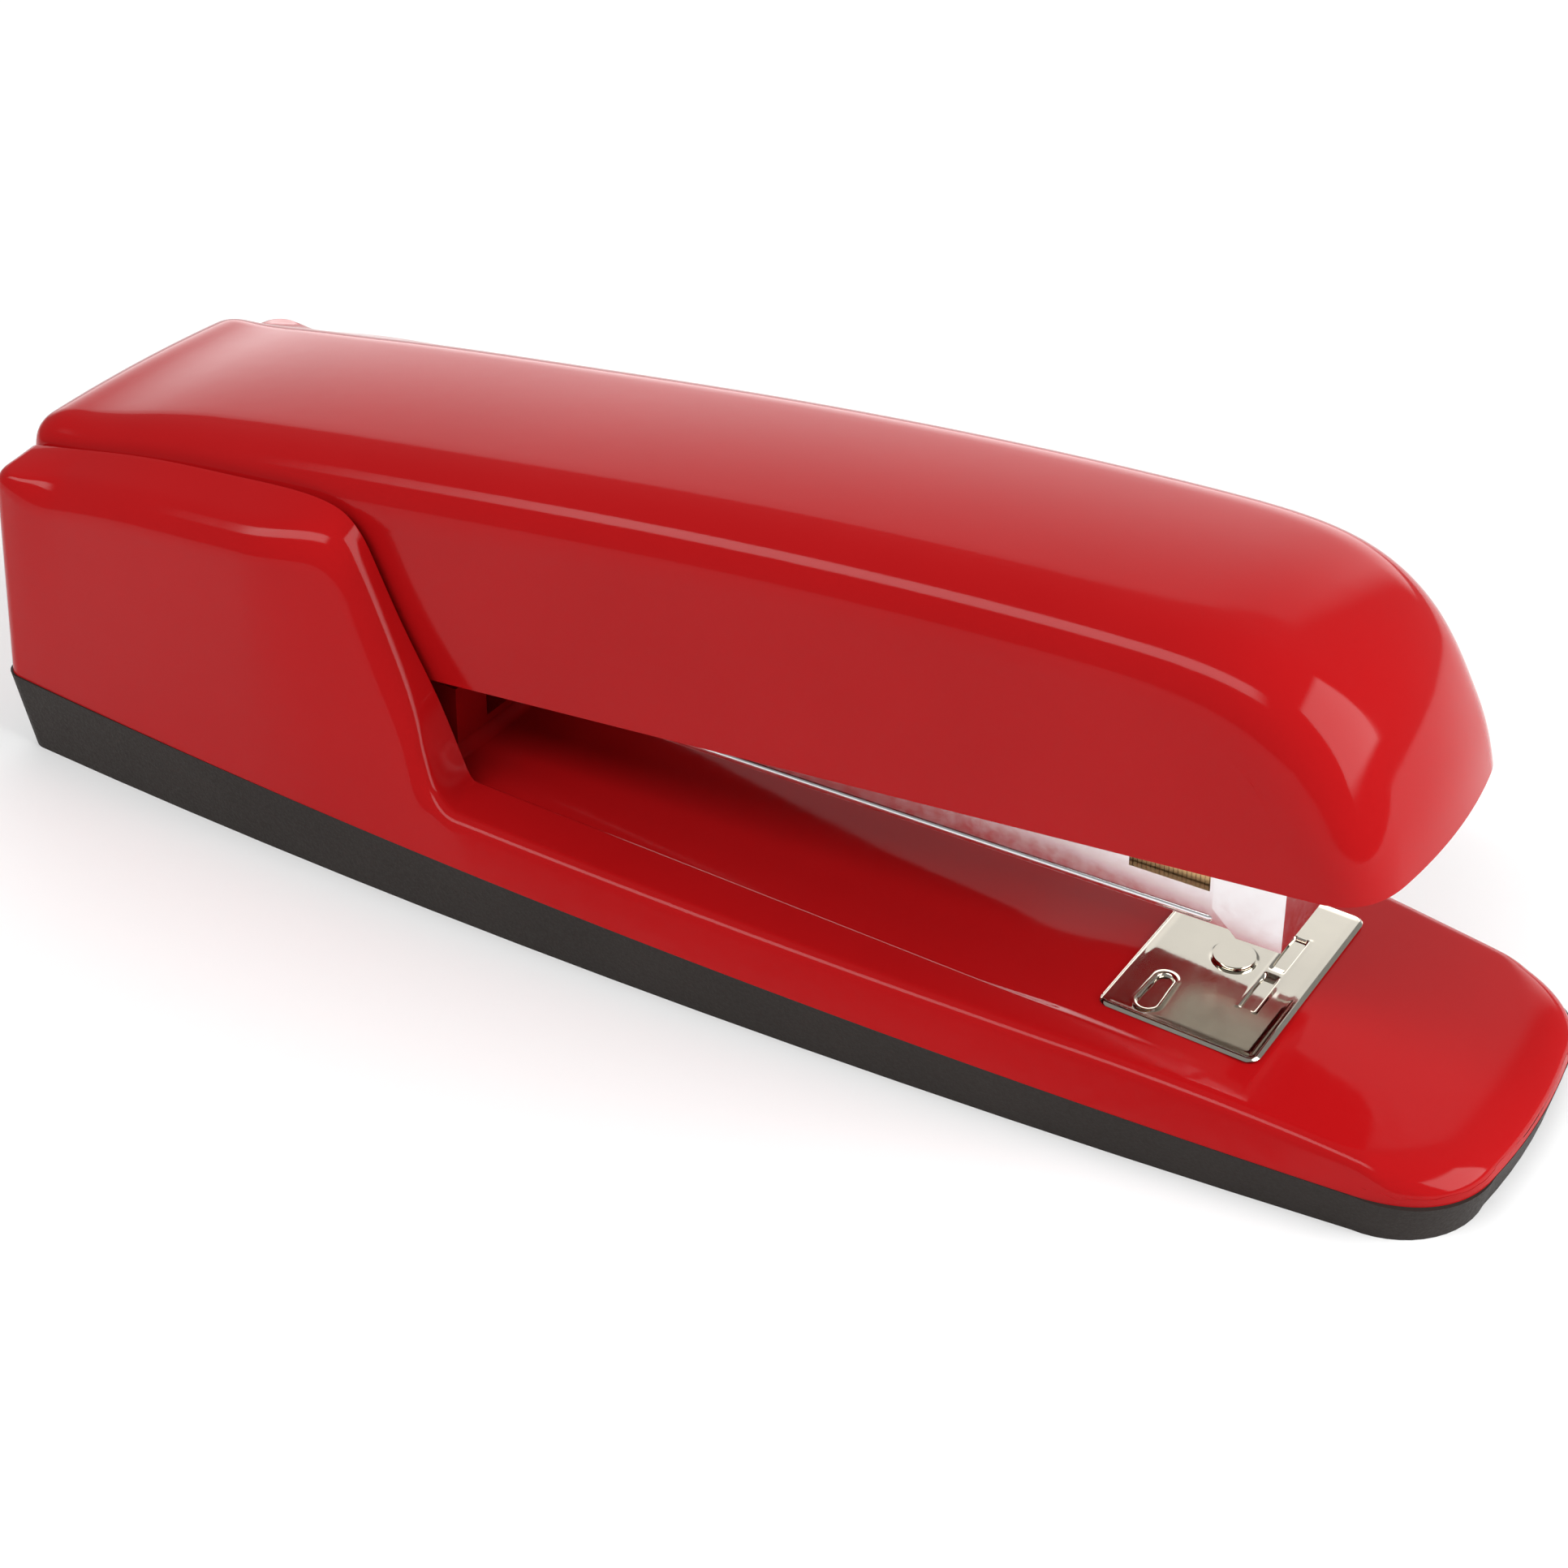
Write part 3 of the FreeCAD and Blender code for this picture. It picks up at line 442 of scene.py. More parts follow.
def plastic():
    """The anvil button's black plastic."""
    n = Nodes("black_button")
    grain = n.noise(3000.0, detail=2.0)
    n.gloss(grain, [(0.3, 0.4), (0.7, 0.55)])
    n.bump(grain, 0.15, 0.0002)
    n.set(Base_Color=(0.03, 0.03, 0.03, 1.0))
    return n.material


RED = enamel()
BLACK = rubber()
NICKEL = metal("nickel", (0.63, 0.59, 0.51), 0.06, 0.025, EVEN, 0.02)
PLATED = metal("plated_steel", (0.72, 0.715, 0.72), 0.3, 0.07, ALONG_X, 0.05)
HEAD = metal("head_steel", (0.86, 0.85, 0.86), 0.22, 0.04, EVEN, 0.03)
SPRING = metal("spring_steel", (0.42, 0.41, 0.4), 0.32, 0.06, SHORT_ALONG_X, 0.06)
BRASS = metal("staple_wire", (0.93, 0.64, 0.31), 0.34, 0.05, EVEN, 0.04, metallic=0.7)
BUTTON = plastic()


# ---------------------------------------------------------------- the handle


def cover_width(x):
    """Half the handle's width, which narrows a little towards the nose."""
    return COVER_HALF - COVER_TAPER * smooth_step(x, -80.0, 100.0)


COVER_ENDS = 44  # stations up the rear, and as many up the nose
COVER_TOP = 220  # stations over the top
REAR_RISE = 20.5  # how far along the outline the rear wall and the nose reach
NOSE_RISE = 19.0
EDGE_LINE = np.array([0.9953, 0.0968])  # direction of the handle's lower edge, in (x, z)
EDGE_TURN_REAR = 9.0  # over how much of the outline the sections turn to follow that edge
EDGE_TURN_NOSE = 12.0
ROUND_PULL = 0.60  # how far a shoulder's curve is pulled towards its corner
SIDE_DROP = 0.45  # how far the flat side starts below the shoulder


def cover_profile():
    """Stations along the side outline, from the rear's lower edge over the top to the nose:
    each point, the direction into the handle there, the distance so far and the length."""
    outline = [
        (-91.1, 18.3),
        (-91.9, 26.0),
        (-92.1, 33.0),
        (-91.9, 37.0),
        (-90.9, 39.5),
        (-88.8, 40.9),
        (-85.2, 41.6),
        (-76.0, 43.4),
        (-63.4, 45.7),
        (-34.5, 49.7),
        (-8.0, 53.0),
        (16.8, 55.4),
        (39.6, 56.8),
        (52.0, 57.1),
        (60.5, 56.5),
        (67.6, 54.0),
        (73.2, 49.3),
        (76.4, 43.6),
        (78.2, 38.8),
        (79.3, 34.73),
    ]
    at, length = natural_spline(outline)
    distance = np.concatenate(
        [
            np.linspace(0.0, REAR_RISE, COVER_ENDS)[:-1],
            np.linspace(REAR_RISE, length - NOSE_RISE, COVER_TOP),
            np.linspace(length - NOSE_RISE, length, COVER_ENDS)[1:],
        ]
    )
    points = at(distance)
    along = np.gradient(points, distance, axis=0)
    along /= np.linalg.norm(along, axis=1)[:, None]
    inward = np.stack([along[:, 1], -along[:, 0]], axis=1)
    return points, inward, distance, length


def coons(left, right, top, bottom):
    """A patch between four edges. left and right run up, top and bottom run from left to right."""
    rows, columns = len(left), len(top)
    v = np.linspace(0.0, 1.0, rows)[:, None, None]
    u = np.linspace(0.0, 1.0, columns)[None, :, None]
    across = (1 - u) * left[:, None] + u * right[:, None]
    up = (1 - v) * bottom[None] + v * top[None]
    corners = (
        (1 - u) * (1 - v) * bottom[0]
        + u * (1 - v) * bottom[-1]
        + (1 - u) * v * top[0]
        + u * v * top[-1]
    )
    return across + up - corners


def build_cover():
    """The handle: top, nose and rear in one strip, with round shoulders down to flat sides."""
    points, inward, distance, length = cover_profile()
    count = len(points)
    # near the lower edge a section lies along that edge
    rear_share = 1.0 - smooth_step(distance, 0.0, EDGE_TURN_REAR)
    nose_share = smooth_step(distance, length - EDGE_TURN_NOSE, length)
    inward = inward * (1 - rear_share - nose_share)[:, None]
    inward += rear_share[:, None] * EDGE_LINE - nose_share[:, None] * EDGE_LINE
    inward /= np.linalg.norm(inward, axis=1)[:, None]

    # a section runs level from the middle, sinking by crown, then round the shoulder
    radius = stepped(
        distance,
        3.6,
        (3.3, 14.0, 50.0),
        (1.5, length - 42.0, length - 16.0),
        (-2.2, length - 17.0, length),
    )
    crown = stepped(distance, 0.35, (0.5, length - 30.0, length - 8.0))
    width = cover_width(points[:, 0])
    flat = width - radius
    steps = np.linspace(0.0, 1.0, 9)
    flat_part = np.stack([flat[:, None] * steps, crown[:, None] * steps**2], axis=2)
    start = np.stack([flat, crown], axis=1)
    end = np.stack([width, crown + radius], axis=1)
    lean = np.stack([np.ones(count), 2 * crown / flat], axis=1)
    pull = ROUND_PULL * radius[:, None]
    round_part = bezier(
        start,
        start + lean * pull,
        end - np.array([0.0, 1.0]) * pull,
        end,
        np.linspace(0.0, 1.0, 19)[1:],
    )
    near_side = end[:, None, :] + np.array([0.0, SIDE_DROP])
    section = np.concatenate([flat_part, round_part, near_side], axis=1)

    grid = np.empty((count, section.shape[1], 3))
    grid[..., 0] = points[:, None, 0] + inward[:, None, 0] * section[..., 1]
    grid[..., 2] = points[:, None, 1] + inward[:, None, 1] * section[..., 1]
    grid[..., 1] = -section[..., 0]

    work = Patchwork()
    work.add_both_sides(grid, flip=True)

    # the flat side, between the strip's last lane and the lower edge
    rim = grid[:, -1, :]
    ends = COVER_ENDS
    left = rim[:ends][:, [0, 2]]
    right = rim[-ends:][::-1][:, [0, 2]]
    top = rim[ends - 1 : count - ends + 1][:, [0, 2]]
    share = np.linspace(0.0, 1.0, len(top))[:, None]
    bottom = (1 - share) * left[0] + share * right[0]
    patch = coons(left, right, top, bottom)
    side = np.empty((*patch.shape[:2], 3))
    side[..., 0] = patch[..., 0]
    side[..., 2] = patch[..., 1]
    side[..., 1] = -cover_width(patch[..., 0])
    side[-1, :, 1] = rim[ends - 1 : count - ends + 1, 1]
    side[:, 0, 1] = rim[:ends, 1]
    side[:, -1, 1] = rim[-ends:][::-1, 1]
    work.add_both_sides(side)
    cover = work.build("handle_shell")
    face_outwards(cover)
    skin_count = len(cover.data.vertices)
    thicken(cover, COVER_SHEET)
    # at the rear's tight corner the inner skin would come out through the side
    for vertex in cover.data.vertices[skin_count:]:
        limit = (cover_width(vertex.co.x / MM) - COVER_SHEET) * MM
        vertex.co.y = max(min(vertex.co.y, limit), -limit)
    finish_piece(cover, "cover", RED, ["cover_shell"])


# ---------------------------------------------------------------- the base


def seam(x):
    """Height of the seam between the red shell and the black pad."""
    return SEAM_HEIGHT - SEAM_FALL * x


def deck(x):
    """Height of the deck, which drops in a long curve to the nose."""
    start, rate = DECK_DROP
    return seam(x) + DECK_HEIGHT - rate * np.maximum(x - start, 0.0) ** 2


EAR = height_curve(
    [
        (-92.0, 37.3),
        (-88.2, 38.0),
        (-80.0, 39.6),
        (-70.6, 41.3),
        (-55.9, 42.9),
        (-48.5, 43.5),
        (-44.6, 43.4),
        (-41.9, 42.7),
        (-39.9, 41.0),
        (-38.2, 37.9),
        (-34.5, 29.9),
        (-30.6, 22.4),
        (-27.5, 14.9),
        (-24.5, 8.0),
    ]
)


def base_top(x, y):
    """Height of the shell's upper skin at a place: the ears, which fall away outwards, and the
    deck ahead of them."""
    outward = np.maximum(np.abs(y) - LIP, 0.0)
    blend = stepped(outward, 1.6, (7.5, 0.0, 7.0))
    fall = stepped(x, 0.16, (0.26, -90.0, -80.0))
    return smooth_max(EAR(x) - fall * outward, deck(x), blend)


def side_line(x):
    """Half the base's width at the seam, in a long curve from its widest place."""
    widest_half, widest_x, bow = 27.7, -39.0, 0.00048
    return widest_half - bow * (x - widest_x) ** 2


def rim_half(x):
    """Half the deck's width inside the rounded rim."""
    return np.interp(x, [REAR_POLE[0], RIM_BEND, NOSE_POLE[0]], [LIP, LIP, -NOSE_POLE[1]])


def skirt_stations():
    """Places along the seam on the near side, from beside the rear wall to the nose's middle.
    Gives each place and the inner point that its section runs to."""
    places, goals = [], []

    def add(place, goal):
        places.append(place)
        goals.append(goal)

    # the rear wall's end and the rear corner
    corner = 2.8
    centre = (-HALF_LENGTH + corner, -side_line(-HALF_LENGTH + corner) + corner)
    for y in np.linspace(-LIP, centre[1], 4)[:-1]:
        add((-HALF_LENGTH, y), REAR_POLE)
    for angle in np.linspace(0.0, 90.0, 19)[:-1]:
        a = math.radians(angle)
        add((centre[0] - corner * math.cos(a), centre[1] - corner * math.sin(a)), REAR_POLE)

    # the long side
    for x in np.linspace(centre[0], REAR_POLE[0], 8)[:-1]:
        add((x, -side_line(x)), REAR_POLE)
    side = np.concatenate(
        [
            np.arange(REAR_POLE[0], -50.0, 1.0),
            np.arange(-50.0, -18.0, 0.4),
            np.arange(-18.0, 70.0, 1.2),
            np.linspace(70.0, NOSE_POLE[0], 10),
        ]
    )
    for x in side:
        add((x, -side_line(x)), (x, -rim_half(x)))

    # the nose's corner, then its slightly bowed front
    start = np.array([81.0, -side_line(81.0)])
    end = np.array([91.5, -10.4])
    bend = bezier(
        start[None],
        (start + (6.2, 0.75))[None],
        (end + (-0.35, -5.8))[None],
        end[None],
        np.linspace(0.0, 1.0, 30),
    )[0]
    for x, y in bend:
        add((x, y), NOSE_POLE)
    front_bow = 0.7
    for y in np.linspace(end[1], 0.0, 10)[1:]:
        goal = (NOSE_POLE[0], NOSE_POLE[1] * y / end[1])
        add((HALF_LENGTH - front_bow * (y / end[1]) ** 2, y), goal)
    return np.array(places), np.array(goals)


CORNER_ROUNDS = 12  # rounds that find where the flank meets the top
SLOPE_STEP = 0.2  # a slope is measured over this much to each side, or over RISE_STEP
RISE_STEP = 0.1
MOST_DROP = 0.72  # how much of the flank's height the rounded edge may take
MOST_RUN = 0.9  # and how much of the way to the inner point
EDGE_PULL = 0.58  # how far the rounded edge is pulled towards its corner
TIGHT = 0.3  # a lane of faces this far below the rounded edge keeps the flank flat


def build_skirt(work):
    """The shell's flank, its rounded edge and the skin inside that edge."""
    places, goals = skirt_stations()
    x, y = places[:, 0], places[:, 1]
    reach = np.linalg.norm(goals - places, axis=1)
    inward = (goals - places) / reach[:, None]
    low = seam(x)

    # how much the flank leans in, and how round its upper edge is, both along the base
    draft = stepped(x, 0.05, (0.33, -52.0, -20.0), (-0.08, 72.0, 90.0))
    draft = draft + 0.03 * (1.0 - smooth_step(x, -91.6, -87.0))
    radius = stepped(x, 3.2, (-1.9, -46.0, -22.0), (3.6, 80.0, 92.0))
    radius = radius - 1.5 * (1.0 - smooth_step(x, -91.0, -84.0))

    def top_at(u):
        px = x + inward[:, 0] * u
        py = y + inward[:, 1] * u
        return base_top(px, py)

    # where the leaning flank would meet the top if the edge were sharp
    corner = np.zeros(len(x))
    for _ in range(CORNER_ROUNDS):
        corner = draft * (top_at(corner) - low)
    corner_z = top_at(corner)
    # on the ear's steep front the edge reaches further down, to stay as round across the slope
    slope = np.abs(EAR(x + SLOPE_STEP) - EAR(x - SLOPE_STEP)) / (2.0 * SLOPE_STEP)
    slope *= 1.0 - smooth_step(x, -30.0, -25.0)
    slope *= smooth_step(x, -80.0, -76.0)
    drop = radius * np.sqrt(1.0 + slope**2)
    drop = np.minimum(drop, MOST_DROP * (corner_z - low))
    flank = np.stack([draft, np.ones(len(x))], axis=1)
    flank /= np.linalg.norm(flank, axis=1)[:, None]

    peak = np.stack([corner, corner_z], axis=1)
    lower = peak - flank * drop[:, None]
    run = np.minimum(radius, MOST_RUN * (reach - corner))
    inner_u = corner + run
    upper = np.stack([inner_u, top_at(inner_u)], axis=1)
    rise = (top_at(inner_u + RISE_STEP) - top_at(inner_u)) / RISE_STEP
    lean = np.stack([np.ones(len(x)), rise], axis=1)
    foot = np.stack([np.zeros(len(x)), low], axis=1)

    shares = np.linspace(0.0, 1.0, 9)[None, :, None]
    face = foot[:, None, :] * (1 - shares) + lower[:, None, :] * shares
    tight = lower[:, None, :] - flank[:, None, :] * TIGHT
    edge = bezier(
        lower,
        lower + flank * drop[:, None] * EDGE_PULL,
        upper - lean * run[:, None] * EDGE_PULL,
        upper,
        np.linspace(0.0, 1.0, 15),
    )
    face = np.concatenate([face[:, :-1], tight], axis=1)

    shares = np.linspace(0.0, 1.0, 9)[1:]
    u = inner_u[:, None] + (reach - inner_u)[:, None] * shares[None, :]
    px = x[:, None] + inward[:, 0:1] * u
    py = y[:, None] + inward[:, 1:2] * u
    skin = np.stack([u, base_top(px, py)], axis=2)
    section = np.concatenate([face, edge, skin], axis=1)

    grid = np.empty((len(x), section.shape[1], 3))
    grid[..., 0] = x[:, None] + inward[:, 0:1] * section[..., 0]
    grid[..., 1] = y[:, None] + inward[:, 1:2] * section[..., 0]
    grid[..., 2] = section[..., 1]
    work.add_both_sides(grid)


# the pan in the deck: floor is its height above the seam, rise how that grows towards the
# nose, and wall half the width of its sloping edge
PAN = {
    "rear": -32.0,
    "front": 70.3,
    "half": 18.2,
    "taper": 0.0137,
    "corner": 3.0,
    "floor": 3.9,
    "rise": (1.05, 34.0, 50.0),
    "wall": 0.75,
}


def pan_half(x):
    """Half the pan's width, which narrows towards the nose."""
    return PAN["half"] - PAN["taper"] * (x - PAN["rear"])


def deck_with_pan(x, y):
    """Height of the deck inside the rim: level, and lower in the pan."""
    half = pan_half(x)
    corner = PAN["corner"]
    middle = 0.5 * (PAN["front"] + PAN["rear"])
    long_side = 0.5 * (PAN["front"] - PAN["rear"])
    over_x = np.abs(x - middle) - long_side + corner
    over_y = np.abs(y) - half + corner
    outside = np.hypot(np.maximum(over_x, 0.0), np.maximum(over_y, 0.0))
    distance = outside + np.minimum(np.maximum(over_x, over_y), 0.0) - corner
    inside = 1.0 - smooth_step(distance, -PAN["wall"], PAN["wall"])
    level = deck(x)
    rise = stepped(x, 0.0, PAN["rise"])
    floor = np.minimum(seam(x) + PAN["floor"] + rise, level)
    return level + (floor - level) * inside


def build_deck(work):
    """The deck between the rims, with its long shallow pan."""
    rows = np.concatenate(
        [
            np.arange(-64.0, -34.0, 3.0),
            np.arange(-34.0, -27.0, 0.25),
            np.arange(-27.0, 68.0, 1.5),
            np.arange(68.0, 73.0, 0.3),
            np.linspace(73.0, NOSE_POLE[0], 6),
        ]
    )
    # the lanes lie closer together across the pan's wall
    near_edge = np.concatenate([[-3.2, -2.2, -1.5], np.arange(-1.1, 1.11, 0.2), [1.6]])
    half = pan_half(rows)[:, None]
    rim = rim_half(rows)[:, None]
    lanes = np.minimum(half + near_edge[None, :], rim)
    inner = (half + near_edge[0]) * np.linspace(0.0, 1.0, 9)[None, :-1]
    y = np.concatenate([inner, lanes, rim], axis=1)
    x = np.broadcast_to(rows[:, None], y.shape)
    z = deck_with_pan(x, y)
    work.add_both_sides(np.stack([x, -y, z], axis=2), flip=True)


def build_base():
    """The red base shell."""
    work = Patchwork()
    build_skirt(work)
    build_deck(work)
    shell = work.build("base_tray")
    face_outwards(shell)
    skin_count = len(shell.data.vertices)
    thicken(shell, BASE_SHEET)
    round_lips(shell, skin_count)
    finish_piece(shell, "base", RED, ["base_shell"])


build_cover()
build_base()


# ---------------------------------------------------------------- small steel pieces


BOX_SIDES = (
    (0, 1, 3, 2),
    (4, 6, 7, 5),
    (0, 4, 5, 1),
    (2, 3, 7, 6),
    (0, 2, 6, 4),
    (1, 5, 7, 3),
)


def box_mesh(work, low, high):
    """Adds a box between two corners, in millimetres."""
    corners = [
        work.verts.new((x * MM, y * MM, z * MM))
        for x in (low[0], high[0])
        for y in (low[1], high[1])
        for z in (low[2], high[2])
    ]
    for quad in BOX_SIDES:
        work.faces.new([corners[i] for i in quad])


def from_bmesh(work, name, place):
    """Makes an object from a bmesh, whose points place moves first, in millimetres."""
    for vertex in work.verts:
        x, y, z = (c / MM for c in vertex.co)
        vertex.co = Vector(place(np.array([[x, y, z]]))[0].tolist()) * MM
    mesh = bpy.data.meshes.new(name)
    work.to_mesh(mesh)
    work.free()
    return add_object(name, mesh)


# the clinching plate, with its size along x and y; x is where its middle is on the deck
ANVIL = {"x": 58.0, "top": 5.4, "thick": 0.36, "long": 28.4, "short": 17.8, "corner": 1.3}
# the pockets that turn a staple's legs, one on either side of the middle
POCKET = {"x": 4.6, "near": 0.35, "far": 6.95, "deep": 0.52, "half": (0.62, 0.85)}
# the slots for pinning
SLOT = {"x": -4.4, "near": 7.2, "far": 11.4, "half": 0.78, "deep": 0.7}


def stadium(x, y, centre_x, y_low, y_high):
    """Distance in the plane to a line along y, on either side of the middle."""
    beyond = np.maximum(np.maximum(y_low - np.abs(y), np.abs(y) - y_high), 0.0)
    return np.hypot(x - centre_x, beyond)


def ridge(distance, width):
    """A rounded ridge, 1 high where distance is 0."""
    return np.exp(-((distance / width) ** 2))


def anvil_relief(x, y):
    """Height of the plate's pressed face, from its flat level."""
    half_x, half_y, corner = ANVIL["short"] / 2, ANVIL["long"] / 2, ANVIL["corner"]
    over_x = np.maximum(np.abs(x) - half_x + corner, 0.0)
    over_y = np.maximum(np.abs(y) - half_y + corner, 0.0)
    inset = corner - np.hypot(over_x, over_y)
    edge = np.minimum(np.minimum(half_x - np.abs(x), half_y - np.abs(y)), inset)
    relief = -0.28 * (1.0 - smooth_step(edge, 0.0, 0.4))
    relief = relief - 0.08 * (1.0 - smooth_step(edge, 0.4, 1.3))
    # two curved pockets with square ends, in a fine raised rim
    near, far = POCKET["near"], POCKET["far"]
    reach = np.clip((np.abs(y) - near) / 6.6, 0.0, 1.0)
    bowl = POCKET["deep"] * np.sqrt(np.clip(1.0 - (2.0 * reach - 1.15) ** 2 / 1.33, 0.0, 1.0))
    within = smooth_step(far - np.abs(y), 0.0, 0.18) * smooth_step(np.abs(y) - near, 0.0, 0.2)
    beside = np.abs(x - POCKET["x"])
    relief = relief - bowl * within * (1.0 - smooth_step(beside, *POCKET["half"]))
    rim = ridge(beside - 0.98, 0.16) * smooth_step(7.3 - np.abs(y), 0.0, 0.3)
    relief = relief + 0.05 * rim
    # two slots, each in a raised ring, a little wider outwards
    away = stadium(x, y, SLOT["x"], SLOT["near"], SLOT["far"])
    wide = SLOT["half"] + 0.05 * (np.abs(y) - SLOT["near"])
    relief = relief + 0.1 * ridge(away - wide - 0.42, 0.2)
    relief = relief - SLOT["deep"] * (1.0 - smooth_step(away - wide, -0.12, 0.14))
    # a fine ring pressed round the stud
    return relief - 0.07 * ridge(np.hypot(x, y) - 2.3, 0.15)


def build_anvil_plate():
    """The clinching plate, pressed and polished."""
    half_x, half_y, corner = ANVIL["short"] / 2, ANVIL["long"] / 2, ANVIL["corner"]
    x = np.linspace(-half_x, half_x, 131)
    y = np.linspace(-half_y, half_y, 201)
    grid_x, grid_y = np.meshgrid(x, y, indexing="ij")
    # rows near the ends are shorter, for the round corners
    turn = np.maximum(np.abs(grid_x) - half_x + corner, 0.0)
    limit = half_y - corner + np.sqrt(np.maximum(corner**2 - turn**2, 0.0))
    grid_y = grid_y * limit / half_y
    top = np.stack([grid_x, grid_y, ANVIL["top"] + anvil_relief(grid_x, grid_y)], axis=2)
    work = Patchwork()
    work.add(top)
    rim = np.concatenate([top[:, 0], top[-1, 1:], top[-2::-1, -1], top[0, -2:0:-1], top[:1, 0]])
    low = rim.copy()
    low[:, 2] = ANVIL["top"] - ANVIL["thick"]
    work.add(np.stack([low, rim], axis=1))
    first = len(work.points)
    work.points += low[:-1].tolist()
    work.faces.append(tuple(range(first, first + len(low) - 1)))
    work.points = on_deck(np.array(work.points) + np.array([ANVIL["x"], 0.0, 0.0])).tolist()
    plate = work.build("clinch_plate", weld=0.001)
    face_outwards(plate)
    finish_piece(plate, "anvil", NICKEL, ["anvil_plate"], angle=60.0)


def build_staples():
    """The strip of staples: one thin bent wire beside another."""
    half, wire, low, top, gap = 6.35, 0.5, -9.7, -2.4, 0.03
    work = bmesh.new()
    for x in np.arange(92.0, 139.9, wire):
        near, far = x + gap, x + wire - gap
        box_mesh(work, (near, -half, low), (far, -half + wire, top))
        box_mesh(work, (near, half - wire, low), (far, half, top))
        box_mesh(work, (near, -half + wire, top - wire), (far, half - wire, top))
    strip = from_bmesh(work, "staples", on_magazine)
    finish_piece(strip, "magazine", BRASS, ["staple_strip"])


LEAF_STATIONS = 40


def build_leaf(name, line, half, thick, place, body, node):
    """A leaf spring along a line in the middle plane. It is drawn as flat as its joint
    presses it, so that it cuts nothing at any pose."""
    at, length = natural_spline(line)
    distance = np.linspace(0.0, length, LEAF_STATIONS)
    middle = at(distance)
    along = np.gradient(middle, distance, axis=0)
    up = np.stack([-along[:, 1], along[:, 0]], axis=1) * 0.5 * thick
    corners = [
        (middle + up, -half),
        (middle + up, half),
        (middle - up, half),
        (middle - up, -half),
        (middle + up, -half),
    ]
    grid = np.stack([np.insert(edge, 1, y, axis=1) for edge, y in corners], axis=1)
    work = Patchwork()
    work.add(place(grid))
    for end in (grid[0], grid[-1]):
        work.add(place(np.array([[end[0], end[1]], [end[3], end[2]]])))
    spring = work.build(name)
    face_outwards(spring)
    finish_piece(spring, body, SPRING, [node])


COIL_STEPS = 16  # stations in each turn
COIL_LANES = 8  # points round the wire, with the last on the first


def build_coil(name, start, end, radius, wire, turns, place, body, node):
    """A coil spring along a line from start to end. radius is to the middle of the wire, and wire
    is the wire's own radius."""
    start, end = np.array(start), np.array(end)
    steps = int(turns * COIL_STEPS)
    axis = (end - start) / np.linalg.norm(end - start)
    side = np.array([0.0, 1.0, 0.0])
    other = np.cross(axis, side)
    t = np.linspace(0.0, 1.0, steps + 1)
    turn = 2 * math.pi * turns * t
    out = np.cos(turn)[:, None] * side + np.sin(turn)[:, None] * other
    centre = start + (end - start) * t[:, None] + out * radius
    ring = np.linspace(0.0, 2 * math.pi, COIL_LANES)
    taper = np.ones((steps + 1, 1, 1))
    taper[[0, -1]] = 0.0
    tube = centre[:, None] + wire * taper * (
        np.cos(ring)[None, :, None] * out[:, None] + np.sin(ring)[None, :, None] * axis
    )
    work = Patchwork()
    work.add(place(tube))
    coil = work.build(name)
    face_outwards(coil)
    finish_piece(coil, body, SPRING, [node], angle=ROUND_PIECE)
    direction = place(np.array([end]))[0] - place(np.array([start]))[0]
    anchor = place(np.array([start]))[0] * MM
    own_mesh(coil)


# the bead on a lower edge of the channel: its middle from the hinge pin, and its half sizes
BEAD = {"y": 7.15, "z": -10.25, "half_y": 0.37, "half_z": 0.5}


def build_beads():
    """The folded bead along each lower edge of the channel."""
    around = np.linspace(0.0, 2 * math.pi, 17)
    x = np.concatenate([[4.0, 4.05, 4.3], np.linspace(8.0, 132.0, 40), [135.6, 135.95, 136.0]])
    # the ends close in two steps
    size = np.ones(len(x))
    size[[0, -1]] = 0.0
    size[[1, -2]] = 0.6
    y = BEAD["y"] + BEAD["half_y"] * np.cos(around)[None, :] * size[:, None]
    z = BEAD["z"] + BEAD["half_z"] * np.sin(around)[None, :] * size[:, None]
    grid = np.stack([np.broadcast_to(x[:, None], y.shape), y, z], axis=2)
    work = Patchwork()
    work.add_both_sides(on_magazine(grid))
    beads = work.build("channel_beads")
    face_outwards(beads)
    finish_piece(beads, "magazine", HEAD, angle=ROUND_PIECE)


build_anvil_plate()
build_staples()
build_beads()
build_coil(
    "follower_coil",
    start=(34.9, 0.0, -6.5),
    end=(80.8, 0.0, -6.5),
    radius=1.72,
    wire=0.25,
    turns=44,
    place=on_magazine,
    body="magazine",
    node="pusher_spring",
)
build_leaf(
    "handle_leaf",
    [(75.0, 12.04), (62.0, 11.83), (50.0, 8.4), (42.0, 5.0), (37.5, 3.8), (34.0, 4.1)],
    half=6.9,
    thick=0.7,
    place=on_cover,
    body="cover",
    node="return_spring",
)
build_leaf(
    "magazine_leaf",
    [(-52.0, 6.75), (-46.0, 6.75), (-40.0, 6.9), (-35.5, 7.3)],
    half=4.0,
    thick=0.6,
    place=on_deck,
    body="base",
    node="lift_spring",
)

